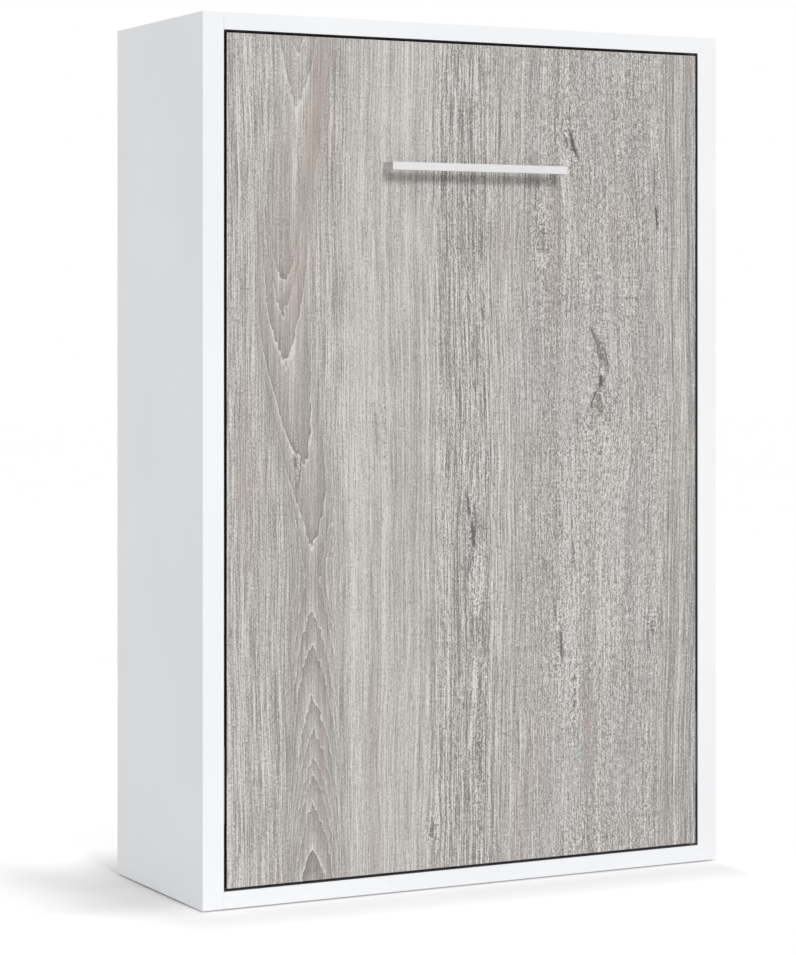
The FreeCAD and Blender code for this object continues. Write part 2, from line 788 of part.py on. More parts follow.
def front_panel():
    """The oak-faced door, which is also the underside of the bed."""
    corner = (f"-1 * {door_half}", front_y, door_bottom)
    size = (f"(2 * {door_half})", "sizes.door_thickness", f"({door_top} - {door_bottom})")
    body = board("front_panel", corner, size)
    dress(body, "Fillet", "sizes.edge_round", lambda edge: lies_at(edge, 1, 0))
    sketch = new_sketch(body, "XZ_Plane", "handle_screw_holes")
    for _, sign in SIDES:
        place = f"({door_half} + {sign} * {post_middle})"
        level = f"({handle_z} - {door_bottom})"
        draw_circle(sketch, place, level, "sizes.handle_screw_radius")
    pocket(body, sketch, OVERRUN)


def handle():
    """A square bar on two posts, screwed on through the door."""
    low = f"({handle_z} - sizes.handle_height / 2)"
    corner = ("-1 * sizes.handle_length / 2", handle_front, low)
    size = ("sizes.handle_length", "sizes.handle_bar_depth", "sizes.handle_height")
    body = board("handle_bar", corner, size)
    dress(body, "Chamfer", "sizes.handle_bevel", lambda edge: lies_at(edge, 1, 0))

    body = new_body("handle_posts", z=handle_z)
    bar_back = f"({handle_front} + sizes.handle_bar_depth)"
    sketch = new_sketch(body, "XY_Plane", "sections")
    half = "sizes.handle_post_width / 2"
    for _, sign in SIDES:
        middle = f"{sign} * {post_middle}"
        low_corner = (f"({middle} - {half})", bar_back)
        high_corner = (f"({middle} + {half})", front_y)
        draw_rectangle(sketch, *low_corner, *high_corner)
    pad(body, sketch, "sizes.handle_height", both=True)
    holes = new_sketch(body, "XZ_Plane", "screw_holes", f"-1 * {front_y}")
    for _, sign in SIDES:
        draw_circle(holes, f"{sign} * {post_middle}", "0", "sizes.handle_screw_radius")
    pocket(body, holes, "sizes.handle_screw_seat", along=True)

    body = new_body("handle_screws", z=handle_z)
    face = f"-1 * {rail_front}"
    heads = new_sketch(body, "XZ_Plane", "heads", face)
    shanks = new_sketch(body, "XZ_Plane", "shanks", face)
    for _, sign in SIDES:
        middle = f"{sign} * {post_middle}"
        draw_circle(heads, middle, "0", "sizes.screw_head_radius")
        draw_circle(shanks, middle, "0", "sizes.handle_screw_radius")
    pad(body, heads, "sizes.screw_head_height", back=True)
    pad(body, shanks, "sizes.door_thickness + sizes.handle_screw_seat")


# Bed box

hub_end = (
    "(sizes.mechanism_space - sizes.plate_thickness - sizes.pin_shoulder_length"
    " - sizes.bush_flange_length - sizes.side_play)"
)
bush_bore = "(sizes.pin_radius + sizes.running_gap)"
bush_outside = f"({bush_bore} + sizes.bush_wall)"
bolt_seat = "(sizes.rail_thickness - sizes.bed_bolt_short)"
slat_row = f"({box_inside} - 2 * sizes.slat_row_inset - sizes.holder_width)"


def bed_bolt_places():
    """Y and Z of the bed plate's bolts, from the pivot."""
    inset = "sizes.bed_bolt_inset"
    low_y = f"({inset} - sizes.bed_plate_front)"
    high_y = f"(sizes.bed_plate_back - {inset})"
    low_z = f"({inset} - sizes.bed_plate_below)"
    high_z = f"(sizes.bed_plate_above - {inset})"
    top_y = f"(sizes.bed_plate_top_back - {inset})"
    return [(low_y, low_z), (low_y, high_z), (high_y, low_z), (top_y, high_z)]


def bed_rail(side, sign):
    """A long side board of the bed box, with the bolt holes in its outer face."""
    right = side == "right"
    low_x = rail_inner if right else f"-1 * {rail_outer}"
    size = ("sizes.rail_thickness", "sizes.rail_height", box_length)
    body = board(f"{side}_bed_rail", (low_x, rail_front, box_bottom), size)
    dress(
        body,
        "Fillet",
        "sizes.edge_round",
        lambda edge: lies_at(edge, 1, SIZES["rail_height"]) and runs_along(edge, 2),
    )
    outer = "sizes.rail_thickness" if right else "0"
    holes = new_sketch(body, "YZ_Plane", "bolt_holes", outer)
    for y, z in bed_bolt_places():
        place = f"({pivot_y} + {y} - {rail_front})"
        level = f"({pivot_z} + {z} - {box_bottom})"
        draw_circle(holes, place, level, "sizes.bed_bolt_radius")
    place = f"({leg_pivot_y} - {rail_front})"
    level = f"({leg_pivot_z} - {box_bottom})"
    draw_circle(holes, place, level, "sizes.leg_bolt_radius")
    pocket(body, holes, bolt_seat, along=not right)


def end_boards():
    """The boards that close the bed box at the head and at the foot."""
    size = (f"(2 * {rail_inner})", "sizes.rail_height", "sizes.end_board_thickness")
    left = f"-1 * {rail_inner}"
    board("head_board", (left, rail_front, box_bottom), size)
    foot_low = f"({box_top} - sizes.end_board_thickness)"
    board("foot_board", (left, rail_front, foot_low), size)


def door_battens():
    """Flat battens across the door's inner face, between the bed rails."""
    low = f"({box_bottom} + sizes.batten_end_distance)"
    body = new_body("door_battens", f"-1 * {rail_inner}", rail_front, low)
    sketch = new_sketch(body, "XY_Plane", "section")
    draw_rectangle(sketch, "0", "0", f"(2 * {rail_inner})", "sizes.batten_thickness")
    first = pad(body, sketch, "sizes.batten_width")
    span = f"{box_length} - 2 * sizes.batten_end_distance - sizes.batten_width"
    repeat(body, first, "Z_Axis", span, BATTEN_COUNT)


def slat_ledger(side, sign):
    """The strip along a bed rail that the slat holders sit on."""
    low_x = f"({rail_inner} - sizes.ledger_width)" if side == "right" else f"-1 * {rail_inner}"
    low_z = f"({box_bottom} + sizes.end_board_thickness)"
    size = ("sizes.ledger_width", "sizes.ledger_height", box_inside)
    board(f"{side}_slat_ledger", (low_x, ledger_front, low_z), size)


def slat_holders():
    """Plastic end caps that hold the slats on the ledgers."""
    low = f"({box_middle} - ({slat_row} + sizes.holder_width) / 2)"
    body = new_body("slat_holders", y=holder_front, z=low)
    sketch = new_sketch(body, "XY_Plane", "sections")
    slot = "(sizes.slat_thickness / 2 + sizes.holder_gap)"
    middle = "sizes.holder_height / 2"
    mouth = f"({rail_inner} - sizes.holder_length)"
    floor = f"({rail_inner} - sizes.holder_wall)"
    profile = [
        (mouth, "0"),
        (rail_inner, "0"),
        (rail_inner, "sizes.holder_height"),
        (mouth, "sizes.holder_height"),
        (mouth, f"({middle} + {slot})"),
        (floor, f"({middle} + {slot})"),
        (floor, f"({middle} - {slot})"),
        (mouth, f"({middle} - {slot})"),
    ]
    for _, sign in SIDES:
        draw_outline(sketch, [(f"{sign} * {x}", y) for x, y in profile])
    first = pad(body, sketch, "sizes.holder_width")
    repeat(body, first, "Z_Axis", slat_row, SLAT_COUNT)


def draw_bow(sketch, half, y, rise, radius):
    """An arc that bows upwards between two held ends."""
    right = V(number(half), number(y), 0)
    crown = V(0, number(y) + number(rise), 0)
    left = V(-number(half), number(y), 0)
    index = sketch.addGeometry(Part.Arc(right, crown, left), False)
    hold_point(sketch, index, 1, half, y)
    hold_point(sketch, index, 2, f"-1 * {half}", y)
    hold(sketch, "Radius", radius, index)
    return index


def slats():
    """Sprung slats, bowed towards the mattress."""
    low = f"({box_middle} - ({slat_row} + sizes.slat_width) / 2)"
    body = new_body("slats", y=slat_middle, z=low)
    sketch = new_sketch(body, "XY_Plane", "section")
    half = f"({rail_inner} - sizes.slat_end_gap)"
    radius = f"(({half} ^ 2 + sizes.slat_bow ^ 2) / (2 * sizes.slat_bow))"
    thick = "sizes.slat_thickness / 2"
    upper = draw_bow(sketch, half, thick, "sizes.slat_bow", radius)
    lower = draw_bow(sketch, half, f"-1 * {thick}", "sizes.slat_bow", radius)
    for sign, end in ((1, 1), (-1, 2)):
        x = sign * number(half)
        start = V(x, number(thick), 0)
        finish = V(x, -number(thick), 0)
        index = sketch.addGeometry(Part.LineSegment(start, finish), False)
        for place, arc in ((1, upper), (2, lower)):
            joint = Sketcher.Constraint("Coincident", index, place, arc, end)
            sketch.addConstraint(joint)
    first = pad(body, sketch, "sizes.slat_width")
    repeat(body, first, "Z_Axis", slat_row, SLAT_COUNT)


def panel_brackets():
    """Small steel angles that tie the door to the outside of the bed rails."""
    low = f"({pivot_z} + sizes.bracket_from_pivot)"
    body = new_body("panel_brackets", y=rail_front, z=low)
    sketch = new_sketch(body, "XY_Plane", "sections")
    leg = "sizes.bracket_leg"
    thick = "sizes.bracket_thickness"
    profile = [("0", "0"), (leg, "0"), (leg, thick), (thick, thick), (thick, leg), ("0", leg)]
    for _, sign in SIDES:
        corners = [(f"{sign} * ({rail_outer} + {x})", y) for x, y in profile]
        draw_outline(sketch, corners)
    first = pad(body, sketch, "sizes.bracket_width")
    high = f"({leg_pivot_z} - sizes.bracket_from_leg)"
    repeat(body, first, "Z_Axis", f"{high} - {low} - sizes.bracket_width", BRACKET_COUNT)


def bed_plate(side, sign):
    """The steel plate on the bed rail, with its hub and the gas spring's seat."""
    right = side == "right"
    body = new_body(f"{side}_bed_plate", f"{sign} * {rail_outer}", pivot_y, pivot_z)
    sketch = new_sketch(body, "YZ_Plane", "outline")
    front = "-1 * sizes.bed_plate_front"
    low = "-1 * sizes.bed_plate_below"
    corners = [
        (front, low),
        ("sizes.bed_plate_back", low),
        ("sizes.bed_plate_back", "sizes.bed_plate_taper_start"),
        ("sizes.bed_plate_top_back", "sizes.bed_plate_above"),
        (front, "sizes.bed_plate_above"),
    ]
    draw_outline(sketch, corners)
    pad(body, sketch, "sizes.plate_thickness", back=not right)
    dress(body, "Fillet", "sizes.plate_corner", lambda edge: runs_along(edge, 0))
    hub = new_sketch(body, "YZ_Plane", "hub")
    draw_circle(hub, "0", "0", f"{bush_outside} + sizes.hub_wall")
    pad(body, hub, hub_end, back=not right)
    seat = new_sketch(body, "YZ_Plane", "spring_seat")
    seat_place = ("sizes.spring_arm_setback", "-1 * sizes.spring_arm_down")
    draw_circle(seat, *seat_place, "sizes.stud_collar_radius")
    length = "(sizes.mechanism_space - sizes.eye_length) / 2 - sizes.open_pivot_gap"
    pad(body, seat, length, back=not right)
    bore = new_sketch(body, "YZ_Plane", "bores")
    draw_circle(bore, "0", "0", bush_outside)
    for y, z in bed_bolt_places():
        draw_circle(bore, y, z, "sizes.bed_bolt_radius")
    for size in ("bed_hole", "bed_small_hole"):
        level = f"sizes.{size}_distance"
        draw_circle(bore, "sizes.bed_hole_setback", level, f"sizes.{size}_radius")
    pocket(body, bore, "sizes.mechanism_space", along=right)


def pivot_bush(side, sign):
    """The flanged plastic bush that turns on the pivot pin."""
    body = new_body(f"{side}_pivot_bush", f"{sign} * {rail_outer}", pivot_y, pivot_z)
    sketch = new_sketch(body, "XY_Plane", "profile")
    flange_end = f"({hub_end} + sizes.bush_flange_length)"
    profile = [
        ("0", bush_bore),
        ("0", bush_outside),
        (hub_end, bush_outside),
        (hub_end, "sizes.bush_flange_radius"),
        (flange_end, "sizes.bush_flange_radius"),
        (flange_end, bush_bore),
    ]
    draw_outline(sketch, [(f"{sign} * {x}", radius) for x, radius in profile])
    revolve(body, sketch)


def bed_plate_bolts():
    """The bolts that hold the bed plates to the rails."""
    body = new_body("bed_plate_bolts", y=pivot_y, z=pivot_z)
    for side, sign in SIDES:
        face = f"{sign} * ({rail_outer} + sizes.plate_thickness)"
        heads = new_sketch(body, "YZ_Plane", f"{side}_heads", face)
        shanks = new_sketch(body, "YZ_Plane", f"{side}_shanks", face)
        for y, z in bed_bolt_places():
            draw_circle(heads, y, z, "sizes.bed_bolt_head_radius")
            draw_circle(shanks, y, z, "sizes.bed_bolt_radius")
        pad(body, heads, "sizes.bed_bolt_head_height", back=side == "left")
        pad(body, shanks, f"sizes.plate_thickness + {bolt_seat}", back=side == "right")


# Mattress and straps

def mattress():
    """The mattress, a plain block with rounded edges."""
    low_z = f"({box_middle} - sizes.mattress_length / 2)"
    corner = ("-1 * sizes.mattress_width / 2", mattress_front, low_z)
    size = ("sizes.mattress_width", "sizes.mattress_thickness", "sizes.mattress_length")
    body = board("mattress", corner, size)
    dress(body, "Fillet", "sizes.mattress_corner", lambda edge: True)


def bedding_straps():
    """Two straps across the mattress, with a buckle on each."""
    thick = "sizes.strap_thickness"
    low = f"({box_middle} - sizes.strap_spacing / 2)"
    body = new_body("bedding_straps", z=low)
    sketch = new_sketch(body, "XY_Plane", "section")
    outer_x = f"({rail_inner} - sizes.strap_gap)"
    inner_x = f"({outer_x} - {thick})"
    inner_y = f"({mattress_back} + sizes.strap_gap)"
    outer_y = f"({inner_y} + {thick})"
    end_y = f"({rail_back} - sizes.strap_tail)"
    half = [(outer_x, end_y), (outer_x, outer_y)]
    inner_half_line = [(inner_x, inner_y), (inner_x, end_y)]
    corners = [(f"-1 * {x}", y) for x, y in half] + half[::-1]
    corners += inner_half_line[::-1] + [(f"-1 * {x}", y) for x, y in inner_half_line]
    draw_outline(sketch, corners)
    first = pad(body, sketch, "sizes.strap_width", both=True)
    repeat(body, first, "Z_Axis", "sizes.strap_spacing", STRAP_COUNT)
    inner_place = number(inner_y)
    outer_place = number(outer_y)
    bend = "sizes.strap_corner"
    dress(
        body,
        "Fillet",
        bend,
        lambda edge: runs_along(edge, 2) and lies_at(edge, 1, inner_place),
    )
    dress(
        body,
        "Fillet",
        f"{bend} + {thick}",
        lambda edge: runs_along(edge, 2) and lies_at(edge, 1, outer_place),
    )

    body = new_body("strap_buckles", y=outer_y, z=low)
    sketch = new_sketch(body, "XY_Plane", "section")
    reach = "sizes.buckle_length / 2"
    draw_rectangle(sketch, f"-1 * {reach}", "0", reach, "sizes.buckle_height")
    first = pad(body, sketch, "sizes.buckle_width", both=True)
    repeat(body, first, "Z_Axis", "sizes.strap_spacing", STRAP_COUNT)
    dress(
        body,
        "Fillet",
        "sizes.buckle_corner",
        lambda edge: lies_at(edge, 1, SIZES["buckle_height"]) and runs_along(edge, 2),
    )


# Gas springs

spring_run = "(sizes.spring_arm_setback - sizes.spring_anchor_setback)"
spring_rise = "(sizes.spring_anchor_rise + sizes.spring_arm_down)"
spring_length = f"sqrt({spring_run} ^ 2 + {spring_rise} ^ 2)"
spring_tilt = f"atan2({spring_run}; {spring_rise})"
tube_start = "(sizes.eye_radius + sizes.neck_length)"
tube_end = f"({tube_start} + sizes.tube_length)"
tube_bore = "(sizes.tube_radius - sizes.tube_wall)"


def spring_body(label, sign):
    """A body at the upper end of a gas spring, with -Z along the spring."""
    body = new_body(label, f"{sign} * {mechanism_middle}", anchor_y, anchor_z)
    turn_about_x(body, spring_tilt)
    return body


def spring_cylinder(side, sign):
    """The pressure tube with its gland, its closed end and its eye."""
    body = spring_body(f"{side}_spring_cylinder", sign)
    sketch = new_sketch(body, "XZ_Plane", "profile")
    rod_bore = "(sizes.rod_radius + sizes.running_gap)"
    gland = f"({tube_end} - sizes.gland_length)"
    closed_end = f"({tube_start} + sizes.neck_length)"
    profile = [
        ("0", "0"),
        ("sizes.neck_radius", "0"),
        ("sizes.neck_radius", tube_start),
        ("sizes.tube_radius", tube_start),
        ("sizes.tube_radius", tube_end),
        (rod_bore, tube_end),
        (rod_bore, gland),
        (tube_bore, gland),
        (tube_bore, closed_end),
        ("0", closed_end),
    ]
    draw_outline(sketch, [(radius, f"-1 * {depth}") for radius, depth in profile])
    revolve(body, sketch, "V_Axis")
    eye = new_sketch(body, "YZ_Plane", "eye")
    draw_circle(eye, "0", "0", "sizes.eye_radius")
    pad(body, eye, "sizes.eye_length", both=True)
    bore = new_sketch(body, "YZ_Plane", "eye_bore", "sizes.eye_length / 2")
    draw_circle(bore, "0", "0", "sizes.stud_radius + sizes.running_gap")
    pocket(body, bore, "sizes.eye_length")


def spring_rod(side, sign):
    """The piston, its rod and the end fitting beside the bed plate."""
    body = spring_body(f"{side}_spring_rod", sign)
    sketch = new_sketch(body, "XZ_Plane", "profile")
    piston_low = f"({tube_end} - sizes.gland_length - sizes.piston_overrun)"
    piston_high = f"({piston_low} - sizes.piston_length)"
    piston_radius = f"({tube_bore} - sizes.piston_gap)"
    profile = [
        ("0", piston_high),
        (piston_radius, piston_high),
        (piston_radius, piston_low),
        ("sizes.rod_radius", piston_low),
        ("sizes.rod_radius", spring_length),
        ("0", spring_length),
    ]
    draw_outline(sketch, [(radius, f"-1 * {depth}") for radius, depth in profile])
    revolve(body, sketch, "V_Axis")
    eye = new_sketch(body, "YZ_Plane", "end_fitting")
    draw_circle(eye, "0", f"-1 * {spring_length}", "sizes.eye_radius")
    pad(body, eye, "sizes.eye_length", both=True)


# Swing-out leg

arm_inner = f"({rail_outer} + sizes.leg_arm_gap)"


def leg_body(label, x="0"):
    """A body at the leg's pivot, with -Z along the closed leg."""
    body = new_body(label, x, leg_pivot_y, leg_pivot_z)
    turn_about_x(body, "sizes.leg_lean_angle")
    return body


def leg_arm(side, sign):
    """A flat steel arm between the leg's pivot bolt and the cross tube."""
    right = side == "right"
    body = leg_body(f"{side}_leg_arm", f"{sign} * {arm_inner}")
    half = "(sizes.leg_arm_width / 2)"
    sketch = new_sketch(body, "YZ_Plane", "outline")
    draw_rectangle(sketch, f"-1 * {half}", f"-1 * ({leg_length} + {half})", half, half)
    pad(body, sketch, "sizes.leg_arm_thickness", back=not right)
    dress(body, "Fillet", "sizes.leg_arm_corner", lambda edge: runs_along(edge, 0))
    bore = new_sketch(body, "YZ_Plane", "pivot_bore")
    draw_circle(bore, "0", "0", "sizes.leg_bolt_radius + sizes.running_gap")
    pocket(body, bore, "sizes.leg_arm_thickness", along=right)


def leg_cross_tube():
    """The tube between both arms, which stands on the floor when the bed is open."""
    body = leg_body("leg_cross_tube")
    sketch = new_sketch(body, "YZ_Plane", "section")
    draw_circle(sketch, "0", f"-1 * {leg_length}", "sizes.leg_tube_radius")
    bore = "sizes.leg_tube_radius - sizes.leg_tube_wall"
    draw_circle(sketch, "0", f"-1 * {leg_length}", bore)
    pad(body, sketch, f"2 * {arm_inner}", both=True)


def leg_feet():
    """Rubber sleeves round the cross tube."""
    body = leg_body("leg_feet")
    for side, sign in SIDES:
        start = f"{sign} * ({arm_inner} - sizes.foot_inset)"
        sketch = new_sketch(body, "YZ_Plane", f"{side}_ring", start)
        draw_circle(sketch, "0", f"-1 * {leg_length}", "sizes.foot_radius")
        draw_circle(sketch, "0", f"-1 * {leg_length}", "sizes.leg_tube_radius")
        pad(body, sketch, "sizes.foot_length", back=side == "right")


def leg_pivot_bolts():
    """Shouldered bolts in the bed rails that the leg's arms turn on."""
    body = new_body("leg_pivot_bolts", y=leg_pivot_y, z=leg_pivot_z)
    sketch = new_sketch(body, "XY_Plane", "profiles")
    collar_end = f"({arm_inner} - sizes.leg_bolt_play)"
    head_start = f"({arm_inner} + sizes.leg_arm_thickness + sizes.leg_bolt_play)"
    head_end = f"({head_start} + sizes.leg_bolt_head)"
    inner_end = f"({rail_outer} - {bolt_seat})"
    profile = [
        (inner_end, "0"),
        (inner_end, "sizes.leg_bolt_radius"),
        (rail_outer, "sizes.leg_bolt_radius"),
        (rail_outer, "sizes.leg_bolt_collar"),
        (collar_end, "sizes.leg_bolt_collar"),
        (collar_end, "sizes.leg_bolt_radius"),
        (head_start, "sizes.leg_bolt_radius"),
        (head_start, "sizes.leg_bolt_collar"),
        (head_end, "sizes.leg_bolt_collar"),
        (head_end, "0"),
    ]
    for _, sign in SIDES:
        draw_outline(sketch, [(f"{sign} * {x}", radius) for x, radius in profile])
    revolve(body, sketch)


# The whole part

for side, sign in SIDES:
    side_panel(side, sign)
cap_board("top_panel", inner_top, "sizes.top_thickness", True)
cap_board("bottom_panel", "sizes.glide_height", "sizes.bottom_thickness", False)
corner_fittings()
cabinet_back()
floor_glides()
mechanism_screws()
stop_buffers()
front_panel()
handle()
end_boards()
door_battens()
slat_holders()
slats()
panel_brackets()
bed_plate_bolts()
mattress()
bedding_straps()
leg_cross_tube()
leg_feet()
leg_pivot_bolts()
for side, sign in SIDES:
    pivot_plate(side, sign)
    pivot_pin(side, sign)
    spring_anchor(side, sign)
    stop_bracket(side, sign)
    bed_rail(side, sign)
    slat_ledger(side, sign)
    bed_plate(side, sign)
    pivot_bush(side, sign)
    spring_cylinder(side, sign)
    spring_rod(side, sign)
    leg_arm(side, sign)

doc.recompute()
for item in doc.Objects:
    if "Invalid" in item.State or "Error" in item.State:
        raise ValueError(f"{item.Label} could not be made")
for body in parts:
    if body.Shape.isNull() or not body.Shape.isValid() or not body.Shape.Solids:
        raise ValueError(f"{body.Label} has no sound solid")

os.makedirs("parts", exist_ok=True)
for body in parts:
    body.Shape.exportStep(f"parts/{body.Label}.step")
    box = body.Shape.BoundBox
    print(
        f"{body.Label}: {len(body.Shape.Solids)} solids,"
        f" {box.XMin:.1f} {box.YMin:.1f} {box.ZMin:.1f}"
        f" to {box.XMax:.1f} {box.YMax:.1f} {box.ZMax:.1f}"
    )
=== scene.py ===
import math
from functools import partial
from itertools import product
import bmesh
import bpy
from mathutils import Matrix, Vector


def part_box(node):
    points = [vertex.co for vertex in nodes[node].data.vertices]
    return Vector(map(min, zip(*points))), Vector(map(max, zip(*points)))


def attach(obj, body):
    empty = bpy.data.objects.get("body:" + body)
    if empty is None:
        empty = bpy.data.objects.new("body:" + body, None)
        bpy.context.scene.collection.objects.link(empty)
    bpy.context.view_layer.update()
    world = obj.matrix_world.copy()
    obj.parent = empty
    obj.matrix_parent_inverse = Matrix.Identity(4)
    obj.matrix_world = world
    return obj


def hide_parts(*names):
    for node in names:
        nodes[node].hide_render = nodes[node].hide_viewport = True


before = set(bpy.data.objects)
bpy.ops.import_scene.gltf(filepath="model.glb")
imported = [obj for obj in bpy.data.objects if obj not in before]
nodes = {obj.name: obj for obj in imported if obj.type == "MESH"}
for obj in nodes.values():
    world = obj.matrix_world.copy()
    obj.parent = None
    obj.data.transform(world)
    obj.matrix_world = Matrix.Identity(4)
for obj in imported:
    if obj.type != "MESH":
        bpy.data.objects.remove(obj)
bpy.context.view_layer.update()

# Upright fold-down bed: white cabinet, grey oak door, everything else behind the door.
# Metres, +Z up, the door faces -Y.

scene = bpy.context.scene
mm = 0.001


# Shader helpers: a wire is a node's output, and a sum on wires adds a Math node

def addNode(tree, kind, values=None, **settings):
    node = tree.nodes.new(kind)
    for key, value in settings.items():
        setattr(node, key, value)
    for key, value in (values or {}).items():
        if isinstance(value, Wire):
            tree.links.new(value.socket, node.inputs[key])
        else:
            node.inputs[key].default_value = value
    return node


def wire(tree, kind, values=None, output=0, **settings):
    return Wire(addNode(tree, kind, values, **settings).outputs[output])


def wires(tree, kind, values=None):
    return {socket.name: Wire(socket) for socket in addNode(tree, kind, values).outputs}


def treeOf(*values):
    return next(value.tree for value in values if isinstance(value, Wire))


def calc(operation, *values):
    return wire(treeOf(*values), "ShaderNodeMath", dict(enumerate(values)), operation=operation)


def sumOf(operation, turned=False):
    if turned:
        return lambda wired, other: calc(operation, other, wired)
    return lambda wired, other: calc(operation, wired, other)


class Wire:
    def __init__(self, socket):
        self.socket, self.tree = socket, socket.id_data

    __add__, __sub__, __mul__, __truediv__ = map(sumOf, ("ADD", "SUBTRACT", "MULTIPLY", "DIVIDE"))
    __rsub__, __rtruediv__ = sumOf("SUBTRACT", True), sumOf("DIVIDE", True)
    __abs__ = lambda wired: calc("ABSOLUTE", wired)


most, least, timesPlus = [partial(calc, name) for name in ("MAXIMUM", "MINIMUM", "MULTIPLY_ADD")]


def remap(value, low, high, toLow=0.0, toHigh=1.0):
    values = {"Value": value, "From Min": low, "From Max": high, "To Min": toLow, "To Max": toHigh}
    return wire(value.tree, "ShaderNodeMapRange", values, interpolation_type="SMOOTHSTEP")


def mix(factor, first, second, blend="MIX"):
    tree, values = treeOf(factor, first, second), {0: factor, 6: first, 7: second}
    return wire(tree, "ShaderNodeMix", values, 2, data_type="RGBA", blend_type=blend)


def split(place):
    return wires(place.tree, "ShaderNodeSeparateXYZ", {0: place}).values()


def joined(x=0.0, y=0.0, z=0.0):
    return wire(treeOf(x, y, z), "ShaderNodeCombineXYZ", {0: x, 1: y, 2: z})


def noise(place, scale, detail=2, roughness=0.5, distortion=0.0):
    return wire(place.tree, "ShaderNodeTexNoise", {
        "Vector": place, "Scale": scale, "Detail": detail, "Roughness": roughness, "Distortion": distortion})


def pattern(place, stretch, detail=2, roughness=0.5, scale=1.0, distortion=0.0):
    stretched = wire(place.tree, "ShaderNodeVectorMath", {0: place, 1: stretch}, operation="MULTIPLY")
    return noise(stretched, scale, detail, roughness, distortion)


def grey(value):
    return (value, value, value, 1)


def newMaterial(name):
    material = bpy.data.materials.new(name)
    material.use_nodes = True
    material.node_tree.nodes.clear()
    return material, wire(material.node_tree, "ShaderNodeTexCoord", output="Object")


def finishSurface(colour, roughness, height, depth, metallic=0.0):
    tree = colour.tree
    bump = wire(tree, "ShaderNodeBump", {"Height": height, "Distance": depth, "Strength": 1.0})
    shader = wire(tree, "ShaderNodeBsdfPrincipled", {
        "Base Color": colour, "Roughness": roughness, "Metallic": metallic, "Normal": bump})
    addNode(tree, "ShaderNodeOutputMaterial", {0: shader})


# Grey oak of the door

